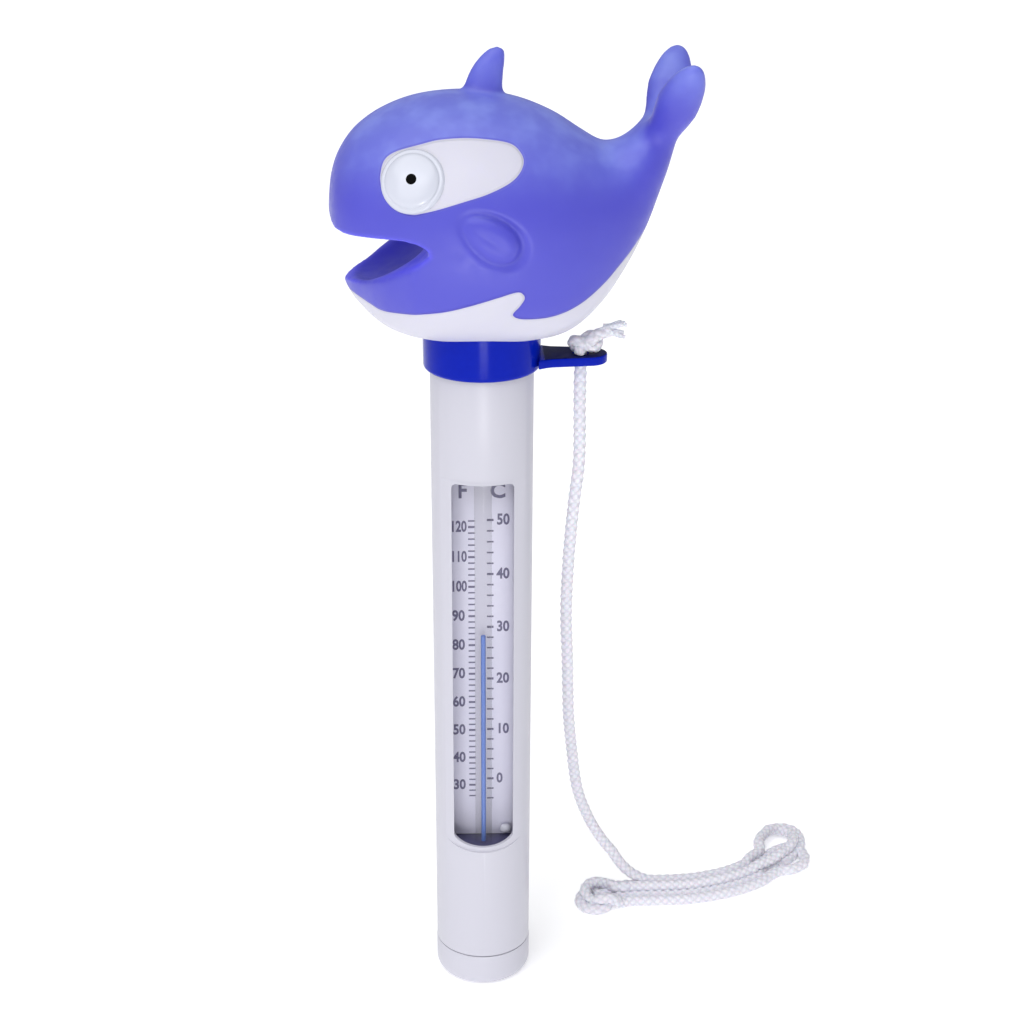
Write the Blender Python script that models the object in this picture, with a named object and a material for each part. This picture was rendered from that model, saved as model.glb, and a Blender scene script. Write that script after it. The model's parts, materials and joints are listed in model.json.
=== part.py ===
"""Floating pool thermometer: a ballasted tube with a windowed scale hangs below a hollow whale float.

Metres, +Z up. The origin is the centre of the tube's flat bottom. The whale's nose points to -X, its
tail and the tether tab to +X, and the scale window faces -Y.
"""

import math

import bmesh
import bpy
from mathutils import Matrix, Vector

# Clearance between touching pieces, and how finely round pieces are divided.
GAP = 0.0003
TUBE_SIDES = 72
ROUND = 32
SMALL_ROUND = 16
BORE_SIDES = 12
CUT_PAST = 0.002

# O-rings and the square grooves they sit in.
SEAL_SIDES = 24
SEAL_SECTION = 6
SEAL_MINOR = 0.0003
GROOVE_HALF = 0.0005
GROOVE_DEPTH = 0.0006

# Outer tube, slightly wider at the top, with its window.
TUBE_BOTTOM_R = 0.0110
TUBE_TOP_R = 0.0112
TUBE_BORE_R = 0.0097
TUBE_TOP_Z = 0.1565
WINDOW_HALF_WIDTH = 0.0068
WINDOW_BOTTOM_Z = 0.0380
WINDOW_TOP_Z = 0.1276
WINDOW_SIDE_BOTTOM_Z = 0.0406
WINDOW_CORNER_R = 0.0012
FRAME_MARGIN = 0.0026
FRAME_DEPTH = 0.0007

# Bottom cap, its spigot in the tube and what stands in it.
CAP_TOP_Z = 0.0082
CAP_R = 0.0111
CAP_EDGE_R = 0.0026
CAP_FLOOR = 0.0018
CAP_SPIGOT_R = 0.0094
CAP_SPIGOT_TOP_Z = 0.0160
CAP_BORE_R = 0.0083
CAP_GROOVE_Z = 0.0112
SLUG_R = 0.0080
SLUG_TOP_Z = 0.0165

# Clear sleeve and its plugs.
SLEEVE_R = 0.0088
SLEEVE_BORE_R = 0.0079
SLEEVE_BOTTOM_Z = 0.0187
SLEEVE_TOP_Z = 0.1450
PLUG_R = 0.0076
PLUG_FLANGE = 0.0015
PLUG_LENGTH = 0.0050

# Thermometer: bulb, stem, grommets and card. The stem stands in front of the card.
STEM_X = 0.0004
STEM_Y = -0.0047
STEM_R = 0.0019
STEM_BORE_R = 0.0008
STEM_TOP_Z = 0.1380
BULB_R = 0.0027
BULB_BOTTOM_Z = 0.0250
BULB_TOP_Z = 0.0325
BULB_WALL = 0.0006
SPIRIT_R = 0.0005
DEGREE = 0.0013
ZERO_C_Z = 0.0526
READING_C = 28.4
MENISCUS = 0.0008
LOWER_GROMMET_Z = (0.0332, 0.0365)
UPPER_GROMMET_Z = (0.1338, 0.1372)
CARD_HALF_WIDTH = 0.0072
CARD_Y = -0.0023
CARD_THICKNESS = 0.0004
BEAD_CENTRE = Vector((0.0054, -0.0034, 0.0392))
BEAD_RADII = (0.0013, 0.0009, 0.0012)

# Collar, tether tab and the plug in the whale's neck.
COLLAR_R = 0.0126
COLLAR_BOTTOM_Z = 0.1512
COLLAR_EDGE_R = 0.0010
COLLAR_TOP_Z = 0.1650
COLLAR_SPIGOT_R = 0.0094
COLLAR_SPIGOT_BOTTOM_Z = 0.1500
COLLAR_BORE_R = 0.0070
COLLAR_WEB = 0.0012
COLLAR_CUP_R = 0.0106
COLLAR_SIDES = 40
COLLAR_GROOVE_Z = 0.1530
LIP_R = 0.0134
LIP_TOP_Z = 0.1672
LIP_RISE = 0.0004
PLUG_SEAT_Z = 0.1630
TAB_TOP_Z = 0.1542
TAB_THICKNESS = 0.0019
TAB_ROOT_HALF = 0.0052
TAB_TIP_HALF = 0.0040
TAB_END_X = 0.0270
HOLE_X = 0.0212
HOLE_R = 0.0017

# Whale skin.
SKIN = 0.0020
WHALE_RING = 28
WHALE_STEPS = 2
BELLY_FLATNESS = 2.4
UPRIGHT = (Vector((1, 0, 0)), Vector((0, 1, 0)), Vector((0, 0, 1)))
NOSE_POLE = Vector((-0.0317, 0.0, 0.1856))
TAIL_POLE = Vector((0.0380, 0.0, 0.2050))
CAVITY_FRONT_POLE = Vector((-0.0272, 0.0, 0.1850))
CAVITY_REAR_POLE = Vector((0.0318, 0.0, 0.1925))
CAVITY_STATIONS = (2, 11)
MOUTH_HALF_WIDTH = 0.030

# Cord.
CORD_R = 0.0012
CORD_STEP = 0.0050
HANK_HALF_WIDTH = 0.0049
HANK_HEIGHT = 0.0046
HANK_STEPS = 18
HANK_SWELL = 0.0012
HANK_SWELL_START = 11
KNOT_RADII = (0.0034, 0.0030, 0.0026)
KNOT_TAIL_RADII = (0.0052, 0.0014, 0.0012)

# The whale's back and belly from nose to tail: (back x, back z, belly x, belly z, half width).
WHALE_STATIONS = (
    (-0.0314, 0.1893, -0.0310, 0.1810, 0.0050),
    (-0.0308, 0.1935, -0.0299, 0.1745, 0.0105),
    (-0.0292, 0.1978, -0.0284, 0.1696, 0.0145),
    (-0.0257, 0.2025, -0.0252, 0.1653, 0.0180),
    (-0.0198, 0.2065, -0.0196, 0.1610, 0.0210),
    (-0.0120, 0.2091, -0.0120, 0.1588, 0.0230),
    (-0.0020, 0.2098, -0.0020, 0.1579, 0.0236),
    (0.0070, 0.2084, 0.0090, 0.1582, 0.0226),
    (0.0145, 0.2055, 0.0180, 0.1602, 0.0202),
    (0.0200, 0.2021, 0.0250, 0.1662, 0.0168),
    (0.0244, 0.1996, 0.0304, 0.1743, 0.0132),
    (0.0276, 0.1997, 0.0342, 0.1820, 0.0100),
    (0.0302, 0.2013, 0.0371, 0.1900, 0.0078),
    (0.0319, 0.2030, 0.0394, 0.1968, 0.0064),
    (0.0336, 0.2046, 0.0402, 0.2008, 0.0052),
    (0.0358, 0.2056, 0.0399, 0.2039, 0.0034),
)

# The tether's hanging run from the tab's hole to the hank on the table.
CORD_ROUTE = (
    (0.0212, 0.0000, 0.1522),
    (0.0212, 0.0006, 0.1440),
    (0.0214, 0.0020, 0.1290),
    (0.0205, 0.0036, 0.1180),
    (0.0197, 0.0058, 0.1040),
    (0.0195, 0.0086, 0.0890),
    (0.0202, 0.0115, 0.0745),
    (0.0208, 0.0145, 0.0600),
    (0.0221, 0.0180, 0.0470),
    (0.0238, 0.0210, 0.0350),
    (0.0270, 0.0238, 0.0250),
    (0.0306, 0.0256, 0.0177),
    (0.0340, 0.0267, 0.0131),
    (0.0372, 0.0276, 0.0088),
)

# Centre line of the hank on the table.
HANK_LINE = (
    (0.0275, 0.0212),
    (0.0400, 0.0240),
    (0.0520, 0.0254),
    (0.0640, 0.0296),
    (0.0740, 0.0360),
    (0.0820, 0.0440),
    (0.0850, 0.0490),
)


def clear_scene():
    for item in list(bpy.data.objects):
        bpy.data.objects.remove(item, do_unlink=True)


def make_material(name, color, roughness, metallic=0.0, transmission=0.0):
    material = bpy.data.materials.new(name)
    material.use_nodes = True
    shader = material.node_tree.nodes["Principled BSDF"]
    shader.inputs["Base Color"].default_value = (*color, 1.0)
    shader.inputs["Roughness"].default_value = roughness
    shader.inputs["Metallic"].default_value = metallic
    shader.inputs["Transmission Weight"].default_value = transmission
    return material


def make_materials():
    return {
        "whale_vinyl": make_material("whale_vinyl", (0.13, 0.12, 0.70), 0.42),
        "collar_plastic": make_material("collar_plastic", (0.004, 0.02, 0.48), 0.2),
        "tube_plastic": make_material("tube_plastic", (0.72, 0.72, 0.80), 0.35),
        "cord_braid": make_material("cord_braid", (0.78, 0.78, 0.82), 0.8),
        "clear_plastic": make_material("clear_plastic", (0.95, 0.95, 1.0), 0.05, 0.0, 1.0),
        "glass": make_material("glass", (1.0, 1.0, 1.0), 0.0, 0.0, 1.0),
        "card_print": make_material("card_print", (0.60, 0.58, 0.75), 0.6),
        "spirit_blue": make_material("spirit_blue", (0.06, 0.15, 0.70), 0.1),
        "dark_rubber": make_material("dark_rubber", (0.03, 0.03, 0.06), 0.6),
        "white_glue": make_material("white_glue", (0.80, 0.80, 0.82), 0.4),
        "foam": make_material("foam", (0.25, 0.25, 0.27), 0.95),
        "steel": make_material("steel", (0.45, 0.45, 0.46), 0.35, 1.0),
    }


def finish_object(name, mesh, material):
    """Links a mesh as an object with its material and smooth round sides."""
    mesh.shade_smooth()
    mesh.set_sharp_from_angle(angle=math.radians(35))
    mesh.materials.clear()
    mesh.materials.append(material)
    item = bpy.data.objects.new(name, mesh)
    bpy.context.collection.objects.link(item)
    return item


def mesh_from(bm, name):
    bmesh.ops.recalc_face_normals(bm, faces=bm.faces)
    mesh = bpy.data.meshes.new(name)
    bm.to_mesh(mesh)
    bm.free()
    return mesh


def turned_mesh(name, profile, centre=(0.0, 0.0), sides=ROUND):
    """A closed (radius, z) outline turned about a vertical axis."""
    bm = bmesh.new()
    rings = []
    for radius, z in profile:
        if radius < 1e-7:
            rings.append([bm.verts.new((centre[0], centre[1], z))])
            continue
        ring = []
        for i in range(sides):
            angle = 2 * math.pi * i / sides
            x = centre[0] + radius * math.cos(angle)
            y = centre[1] + radius * math.sin(angle)
            ring.append(bm.verts.new((x, y, z)))
        rings.append(ring)
    for k, ring in enumerate(rings):
        join_rings(bm, ring, rings[(k + 1) % len(rings)], sides)
    return mesh_from(bm, name)


def join_rings(bm, first, second, sides):
    """Side faces between two rings, either of which may be a single point on the axis."""
    if len(first) == 1 and len(second) == 1:
        return
    for i in range(sides):
        j = (i + 1) % sides
        if len(first) == 1:
            bm.faces.new((first[0], second[j], second[i]))
        elif len(second) == 1:
            bm.faces.new((first[i], first[j], second[0]))
        else:
            bm.faces.new((first[i], first[j], second[j], second[i]))


def corner_arc(centre_r, centre_z, radius, start, end, steps=4):
    """Points of a quarter round in a turned outline, angles in degrees."""
    points = []
    for i in range(steps + 1):
        angle = math.radians(start + (end - start) * i / steps)
        points.append((centre_r + radius * math.cos(angle), centre_z + radius * math.sin(angle)))
    return points


def apply_boolean(item, cutter, operation):
    """Runs an exact Boolean on an object's mesh and drops the tool object."""
    modifier = item.modifiers.new("Boolean", "BOOLEAN")
    modifier.operation = operation
    modifier.solver = "EXACT"
    modifier.object = cutter
    graph = bpy.context.evaluated_depsgraph_get()
    result = bpy.data.meshes.new_from_object(item.evaluated_get(graph))
    item.modifiers.clear()
    item.data = result
    bpy.data.objects.remove(cutter, do_unlink=True)
    return item


def plain_object(name, mesh):
    item = bpy.data.objects.new(name, mesh)
    bpy.context.collection.objects.link(item)
    return item


def cut(item, mesh):
    return apply_boolean(item, plain_object("tool", mesh), "DIFFERENCE")


def join(item, mesh):
    return apply_boolean(item, plain_object("tool", mesh), "UNION")


def restyle(item):
    """Smooth shading again after a Boolean has rebuilt the mesh."""
    item.data.shade_smooth()
    item.data.set_sharp_from_angle(angle=math.radians(35))
    return item


def turned(name, profile, material, centre=(0.0, 0.0), sides=ROUND):
    return finish_object(name, turned_mesh(name, profile, centre, sides), material)


def disc_profile(radius, low, high, hole=0.0):
    return ((hole, low), (radius, low), (radius, high), (hole, high))


def make_seal(name, radius, z, materials):
    """An O-ring standing slightly proud of a groove at this radius."""
    profile = []
    for i in range(SEAL_SECTION):
        angle = 2 * math.pi * i / SEAL_SECTION
        across = radius - SEAL_MINOR / 4 + SEAL_MINOR * math.cos(angle)
        profile.append((across, z + SEAL_MINOR * math.sin(angle)))
    turned(name, profile, materials["dark_rubber"], sides=SEAL_SIDES)


def groove_points(radius, z, direction=1):
    """A square O-ring groove in a turned outline, walked upward or, with -1, downward."""
    half = GROOVE_HALF * direction
    floor = radius - GROOVE_DEPTH
    return [(radius, z - half), (floor, z - half), (floor, z + half), (radius, z + half)]


def window_outline(half_width, low, side_low, high, corner):
    """The window's outline as (x, z): straight sides, small top corners, and an arched bottom end."""
    points = []
    for i in range(5):
        angle = math.pi / 2 * i / 4
        x = half_width - corner + corner * math.sin(angle)
        points.append((x, high - corner + corner * math.cos(angle)))
    depth = side_low - low
    for i in range(13):
        angle = math.pi * i / 12
        points.append((half_width * math.cos(angle), side_low - depth * math.sin(angle)))
    for i in range(5):
        angle = math.pi / 2 * i / 4
        x = -half_width + corner - corner * math.cos(angle)
        points.append((x, high - corner + corner * math.sin(angle)))
    return points


def prism_mesh(name, front, back, front_y, back_y):
    """A solid between two outlines with equal point counts, at two depths along Y."""
    bm = bmesh.new()
    near = [bm.verts.new((x, front_y, z)) for x, z in front]
    far = [bm.verts.new((x, back_y, z)) for x, z in back]
    bm.faces.new(near)
    bm.faces.new(far[::-1])
    count = len(near)
    for i in range(count):
        j = (i + 1) % count
        bm.faces.new((near[j], near[i], far[i], far[j]))
    return mesh_from(bm, name)


def make_outer_tube(materials):
    slope = (TUBE_TOP_R - TUBE_BOTTOM_R) / TUBE_TOP_Z
    low = CAP_TOP_Z + GAP
    profile = (
        (TUBE_BOTTOM_R + slope * low, low),
        (TUBE_TOP_R, TUBE_TOP_Z),
        (TUBE_BORE_R, TUBE_TOP_Z),
        (TUBE_BORE_R, low),
    )
    tube = plain_object("outer_tube", turned_mesh("outer_tube", profile, sides=TUBE_SIDES))
    opening = window_outline(
        WINDOW_HALF_WIDTH, WINDOW_BOTTOM_Z, WINDOW_SIDE_BOTTOM_Z, WINDOW_TOP_Z, WINDOW_CORNER_R
    )
    tube = cut(tube, prism_mesh("opening", opening, opening, -TUBE_TOP_R - CUT_PAST, -0.001))
    outer = window_outline(
        WINDOW_HALF_WIDTH + FRAME_MARGIN,
        WINDOW_BOTTOM_Z - FRAME_MARGIN / 2,
        WINDOW_SIDE_BOTTOM_Z,
        WINDOW_TOP_Z + FRAME_MARGIN / 2,
        WINDOW_CORNER_R,
    )
    deep = math.sqrt(TUBE_BOTTOM_R**2 - WINDOW_HALF_WIDTH**2) - FRAME_DEPTH
    inner = window_outline(
        WINDOW_HALF_WIDTH - FRAME_MARGIN / 4,
        WINDOW_BOTTOM_Z + FRAME_MARGIN / 4,
        WINDOW_SIDE_BOTTOM_Z,
        WINDOW_TOP_Z - FRAME_MARGIN / 4,
        WINDOW_CORNER_R,
    )
    tube = cut(tube, prism_mesh("frame", outer, inner, -TUBE_TOP_R - CUT_PAST, -deep))
    tube.data.materials.append(materials["tube_plastic"])
    return restyle(tube)


def make_bottom_cap(materials):
    edge = corner_arc(CAP_R - CAP_EDGE_R, CAP_EDGE_R, CAP_EDGE_R, -90, 0)
    profile = [
        (0.0, 0.0),
        *edge,
        (CAP_R, CAP_TOP_Z),
        (CAP_SPIGOT_R, CAP_TOP_Z),
        *groove_points(CAP_SPIGOT_R, CAP_GROOVE_Z),
        (CAP_SPIGOT_R, CAP_SPIGOT_TOP_Z),
        (CAP_BORE_R, CAP_SPIGOT_TOP_Z),
        (CAP_BORE_R, CAP_FLOOR),
        (0.0, CAP_FLOOR),
    ]
    turned("bottom_cap", profile, materials["tube_plastic"])
    make_seal("cap_seal", CAP_SPIGOT_R, CAP_GROOVE_Z, materials)


def make_ballast(materials):
    low = CAP_FLOOR + GAP
    turned("ballast_slug", disc_profile(SLUG_R, low, SLUG_TOP_Z), materials["steel"])


def make_sleeve(materials):
    profile = disc_profile(SLEEVE_R, SLEEVE_BOTTOM_Z, SLEEVE_TOP_Z, SLEEVE_BORE_R)
    turned("inner_sleeve", profile, materials["clear_plastic"])


def make_plug(name, seal_name, end_z, inward, materials):
    """A flanged plug in one end of the sleeve, with an O-ring. inward is +1 for the bottom plug."""
    flange_near = end_z - inward * GAP
    flange_far = flange_near - inward * PLUG_FLANGE
    tip = end_z + inward * PLUG_LENGTH
    groove = end_z + inward * PLUG_LENGTH / 2
    profile = [
        (0.0, flange_far),
        (SLEEVE_R, flange_far),
        (SLEEVE_R, flange_near),
        (PLUG_R, flange_near),
        *groove_points(PLUG_R, groove, inward),
        (PLUG_R, tip),
        (0.0, tip),
    ]
    turned(name, profile, materials["tube_plastic"])
    make_seal(seal_name, PLUG_R, groove, materials)


def make_thermometer(materials):
    axis = (STEM_X, STEM_Y)
    inner = BULB_R - BULB_WALL
    shoulder = BULB_TOP_Z - BULB_R / 2
    lower = corner_arc(BULB_R / 2, BULB_BOTTOM_Z + BULB_R / 2, BULB_R / 2, -90, 0, 3)
    bulb = [
        (0.0, BULB_BOTTOM_Z),
        *lower[1:],
        (BULB_R, shoulder),
        (STEM_R, BULB_TOP_Z),
        (STEM_BORE_R, BULB_TOP_Z),
        (inner, shoulder - BULB_WALL),
        (inner, BULB_BOTTOM_Z + BULB_R / 2),
        (inner / 2, BULB_BOTTOM_Z + BULB_WALL),
        (0.0, BULB_BOTTOM_Z + BULB_WALL),
    ]
    turned("glass_bulb", bulb, materials["glass"], axis, SMALL_ROUND)
    fill = inner - GAP / 2
    reservoir = (
        (0.0, BULB_BOTTOM_Z + BULB_WALL + GAP / 2),
        (fill / 2, BULB_BOTTOM_Z + BULB_WALL + GAP / 2),
        (fill, BULB_BOTTOM_Z + BULB_R / 2 + GAP / 2),
        (fill, shoulder - BULB_WALL - GAP / 2),
        (SPIRIT_R, BULB_TOP_Z - GAP),
        (0.0, BULB_TOP_Z - GAP),
    )
    turned("spirit_reservoir", reservoir, materials["spirit_blue"], axis, SMALL_ROUND)
    stem_low = BULB_TOP_Z + GAP
    top = corner_arc(0.0, STEM_TOP_Z - STEM_R, STEM_R, 0, 90)
    stem = [(STEM_BORE_R, stem_low), (STEM_R, stem_low), *top[:-1], (0.0, STEM_TOP_Z)]
    stem += [(0.0, STEM_TOP_Z - STEM_R), (STEM_BORE_R, STEM_TOP_Z - STEM_R)]
    turned("glass_stem", stem, materials["glass"], axis, SMALL_ROUND)
    level = ZERO_C_Z + READING_C * DEGREE
    column = disc_profile(SPIRIT_R, stem_low, level - MENISCUS - GAP / 3)
    turned("spirit_column", column, materials["spirit_blue"], axis, BORE_SIDES)
    top_end = (
        (0.0, level - MENISCUS),
        (SPIRIT_R, level - MENISCUS),
        (SPIRIT_R, level),
        (0.0, level - SPIRIT_R / 2),
    )
    turned("spirit_meniscus", top_end, materials["spirit_blue"], axis, BORE_SIDES)


def make_grommet(name, heights, materials):
    """A rubber disc that fills the sleeve and grips the stem."""
    disc = turned_mesh(name, disc_profile(SLEEVE_BORE_R - GAP, *heights))
    item = plain_object(name, disc)
    low, high = heights[0] - CUT_PAST, heights[1] + CUT_PAST
    hole = turned_mesh("hole", disc_profile(STEM_R + GAP, low, high), (STEM_X, STEM_Y), SMALL_ROUND)
    item = cut(item, hole)
    item.data.materials.append(materials["dark_rubber"])
    return restyle(item)


def box_mesh(name, low, high):
    bm = bmesh.new()
    bmesh.ops.create_cube(bm, size=1.0)
    centre = [(a + b) / 2 for a, b in zip(low, high)]
    size = [b - a for a, b in zip(low, high)]
    bmesh.ops.scale(bm, vec=size, verts=bm.verts)
    bmesh.ops.translate(bm, vec=centre, verts=bm.verts)
    return mesh_from(bm, name)


def make_card(materials):
    low = (-CARD_HALF_WIDTH, CARD_Y, LOWER_GROMMET_Z[1] + GAP)
    high = (CARD_HALF_WIDTH, CARD_Y + CARD_THICKNESS, UPPER_GROMMET_Z[0] - GAP)
    finish_object("scale_card", box_mesh("scale_card", low, high), materials["card_print"])
    bead = blob_mesh("card_fixing_bead", BEAD_CENTRE, UPRIGHT, BEAD_RADII, 12, 8)
    finish_object("card_fixing_bead", bead, materials["white_glue"])


def tab_outline():
    """The tether tab from inside the collar wall to its round end."""
    root_x = (COLLAR_R + TUBE_TOP_R) / 2
    centre_x = TAB_END_X - TAB_TIP_HALF
    points = [(root_x, -TAB_ROOT_HALF)]
    for i in range(9):
        angle = math.radians(-90 + 180 * i / 8)
        points.append((centre_x + TAB_TIP_HALF * math.cos(angle), TAB_TIP_HALF * math.sin(angle)))
    points.append((root_x, TAB_ROOT_HALF))
    return points


def slab_mesh(name, outline, low, high):
    """An (x, y) outline extruded upward."""
    bm = bmesh.new()
    bottom = [bm.verts.new((x, y, low)) for x, y in outline]
    top = [bm.verts.new((x, y, high)) for x, y in outline]
    bm.faces.new(bottom[::-1])
    bm.faces.new(top)
    count = len(bottom)
    for i in range(count):
        j = (i + 1) % count
        bm.faces.new((bottom[i], bottom[j], top[j], top[i]))
    return mesh_from(bm, name)


def make_collar(materials):
    """Collar with a skirt outside the tube, a spigot inside it and a lipped top inside the whale."""
    fillet = corner_arc(
        COLLAR_R - COLLAR_EDGE_R, COLLAR_BOTTOM_Z + COLLAR_EDGE_R, COLLAR_EDGE_R, -90, 0, 3
    )
    inner_wall = TUBE_TOP_R + GAP
    under_web = TUBE_TOP_Z + GAP
    over_web = under_web + COLLAR_WEB
    profile = [
        (inner_wall, COLLAR_BOTTOM_Z),
        *fillet,
        (COLLAR_R, COLLAR_TOP_Z),
        (LIP_R, COLLAR_TOP_Z + LIP_RISE),
        (COLLAR_R, LIP_TOP_Z),
        (COLLAR_CUP_R, LIP_TOP_Z),
        (COLLAR_CUP_R, over_web),
        (COLLAR_BORE_R, over_web),
        (COLLAR_BORE_R, COLLAR_SPIGOT_BOTTOM_Z),
        (COLLAR_SPIGOT_R, COLLAR_SPIGOT_BOTTOM_Z),
        *groove_points(COLLAR_SPIGOT_R, COLLAR_GROOVE_Z),
        (COLLAR_SPIGOT_R, under_web),
        (inner_wall, under_web),
    ]
    collar = plain_object("collar", turned_mesh("collar", profile, sides=COLLAR_SIDES))
    tab_bottom = TAB_TOP_Z - TAB_THICKNESS
    collar = join(collar, slab_mesh("tab", tab_outline(), tab_bottom, TAB_TOP_Z))
    hole = disc_profile(HOLE_R, tab_bottom - CUT_PAST, TAB_TOP_Z + CUT_PAST)
    collar = cut(collar, turned_mesh("hole", hole, (HOLE_X, 0.0), SMALL_ROUND))
    collar.data.materials.append(materials["collar_plastic"])
    restyle(collar)
    make_seal("collar_seal", COLLAR_SPIGOT_R, COLLAR_GROOVE_Z, materials)


def make_float_plug(materials):
    """The disc that closes the collar's cup and seals the whale's neck from inside."""
    plug = (
        (0.0, PLUG_SEAT_Z),
        (COLLAR_CUP_R - GAP, PLUG_SEAT_Z),
        (COLLAR_CUP_R - GAP, LIP_TOP_Z + GAP),
        (COLLAR_R, LIP_TOP_Z + GAP),
        (COLLAR_R, LIP_TOP_Z + PLUG_FLANGE),
        (0.0, LIP_TOP_Z + PLUG_FLANGE),
    )
    turned("float_plug", plug, materials["tube_plastic"])


def make_top_pad(materials):
    low = SLEEVE_TOP_Z + GAP + PLUG_FLANGE + GAP
    high = COLLAR_SPIGOT_BOTTOM_Z - GAP
    turned("top_pad", disc_profile(PLUG_R, low, high), materials["foam"])


def spline(values, t):
    """Catmull-Rom value through a list of tuples at parameter t from 0 to len - 1."""
    last = len(values) - 1
    k = min(int(t), last - 1)
    u = t - k
    before = values[max(k - 1, 0)]
    start = values[k]
    end = values[k + 1]
    after = values[min(k + 2, last)]
    result = []
    for p0, p1, p2, p3 in zip(before, start, end, after):
        cubic = 2 * p1 + (p2 - p0) * u + (2 * p0 - 5 * p1 + 4 * p2 - p3) * u**2
        cubic += (3 * p1 - p0 - 3 * p2 + p3) * u**3
        result.append(cubic / 2)
    return result


def whale_rings(inset, first, last):
    """Rings of points from nose to tail, pulled in by inset all round."""
    rings = []
    steps = int((last - first) * WHALE_STEPS)
    for s in range(steps + 1):
        back_x, back_z, belly_x, belly_z, half = spline(WHALE_STATIONS, first + s / WHALE_STEPS)
        back = Vector((back_x, 0.0, back_z))
        belly = Vector((belly_x, 0.0, belly_z))
        middle = (back + belly) / 2
        up = (back - belly) / 2
        up = up * (1 - inset / up.length)
        side = Vector((0.0, half - inset, 0.0))
        ring = []
        for i in range(WHALE_RING):
            angle = 2 * math.pi * i / WHALE_RING
            across, over = math.cos(angle), math.sin(angle)
            if over < 0:
                across = math.copysign(abs(across) ** (2 / BELLY_FLATNESS), across)
                over = -(abs(over) ** (2 / BELLY_FLATNESS))
            ring.append(middle + side * across + up * over)
        rings.append(ring)
    return rings


def lofted_mesh(name, rings, start, end):
    """A closed skin over rings of points, with a pole at each end."""
    bm = bmesh.new()
    made = [[bm.verts.new(start)]]
    made += [[bm.verts.new(p) for p in ring] for ring in rings]
    made.append([bm.verts.new(end)])
    count = len(rings[0])
    for first, second in zip(made, made[1:]):
        join_rings(bm, first, second, count)
    return mesh_from(bm, name)


def whale_body_mesh():
    rings = whale_rings(0.0, 0, len(WHALE_STATIONS) - 1)
    return lofted_mesh("body", rings, NOSE_POLE, TAIL_POLE)


def whale_cavity_mesh():
    """The hollow that makes it float, stopped short of the mouth's floor and of the tail."""
    rings = whale_rings(SKIN, *CAVITY_STATIONS)
    return lofted_mesh("cavity", rings, CAVITY_FRONT_POLE, CAVITY_REAR_POLE)


def blob_mesh(name, centre, axes, radii, sides=16, rings=8):
    """An ellipsoid on three given directions."""
    bm = bmesh.new()
    bmesh.ops.create_uvsphere(bm, u_segments=sides, v_segments=rings, radius=1.0)
    frame = Matrix([tuple(a * r for a, r in zip(row, radii)) for row in zip(*axes)])
    for vert in bm.verts:
        vert.co = centre + frame @ vert.co
    return mesh_from(bm, name)


def fluke_mesh(side):
    """One tail fluke: a thick leaf from the tail's end outward and upward."""
    along = Vector((0.30, 0.60 * side, 0.78)).normalized()
    chord = (Vector((1, 0, 0)) - along * along.x).normalized()
    across = along.cross(chord)
    centre = Vector((0.0386, 0.0074 * side, 0.2071))
    return blob_mesh("fluke", centre, (chord, across, along), (0.0050, 0.0033, 0.0123))


def side_fin_mesh(side):
    along = Vector((0.79, 0.0, -0.61)).normalized()
    out = Vector((0.0, side, 0.12)).normalized()
    directions = (along, out, along.cross(out))
    centre = Vector((0.0018, 0.0224 * side, 0.1834))
    return blob_mesh("side_fin", centre, directions, (0.0085, 0.0026, 0.0044))


def eye_mesh(side):
    """A shallow dome that looks outward and a little up."""
    out = Vector((-0.18, 0.89 * side, 0.42)).normalized()
    along = (Vector((1, 0, 0)) - out * out.x).normalized()
    centre = Vector((-0.0139, 0.0186 * side, 0.1955))
    return blob_mesh("eye", centre, (along, out.cross(along), out), (0.0066, 0.0066, 0.0032))


def dorsal_fin_mesh():
    """A rounded horn that leans back over a near vertical rear edge: (front x, rear x, half thickness, z)."""
    levels = (
        (-0.0050, 0.0050, 0.0030, 0.2070),
        (-0.0037, 0.0042, 0.0022, 0.2110),
        (-0.0025, 0.0043, 0.0020, 0.2140),
        (-0.0008, 0.0045, 0.0017, 0.2165),
        (0.0012, 0.0044, 0.0012, 0.2181),
    )
    rings = []
    for front, rear, half, z in levels:
        middle = (front + rear) / 2
        reach = (rear - front) / 2
        ring = []
        for i in range(16):
            angle = 2 * math.pi * i / 16
            ring.append(Vector((middle + reach * math.cos(angle), half * math.sin(angle), z)))
        rings.append(ring)
    return lofted_mesh("fin", rings, Vector((0.0, 0.0, 0.2060)), Vector((0.0033, 0.0, 0.2187)))


def mouth_outline(margin):
    """Side view of the open mouth as (x, z), grown by margin for the cavity's wall."""
    return (
        (-0.0380, 0.1880 + margin),
        (-0.0312, 0.1850 + margin),
        (-0.0290, 0.1839 + margin),
        (-0.0160, 0.1837 + margin),
        (-0.0122, 0.1827 + margin),
        (-0.0106 + margin, 0.1812),
        (-0.0130, 0.1793 - margin),
        (-0.0205, 0.1752 - margin),
        (-0.0296, 0.1712 - margin),
        (-0.0380, 0.1690 - margin),
    )


def mouth_mesh(margin):
    outline = mouth_outline(margin)
    return prism_mesh("mouth", outline, outline, -MOUTH_HALF_WIDTH, MOUTH_HALF_WIDTH)


def jaw_scoop_mesh(margin):
    """The hollow of the lower jaw."""
    along = Vector((0.90, 0.0, 0.43)).normalized()
    up = Vector((-along.z, 0.0, along.x))
    radii = (0.0105 + margin, 0.0120 + margin, 0.0036 + margin)
    return blob_mesh("scoop", Vector((-0.0190, 0.0, 0.1768)), (along, Vector((0, 1, 0)), up), radii)


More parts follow.
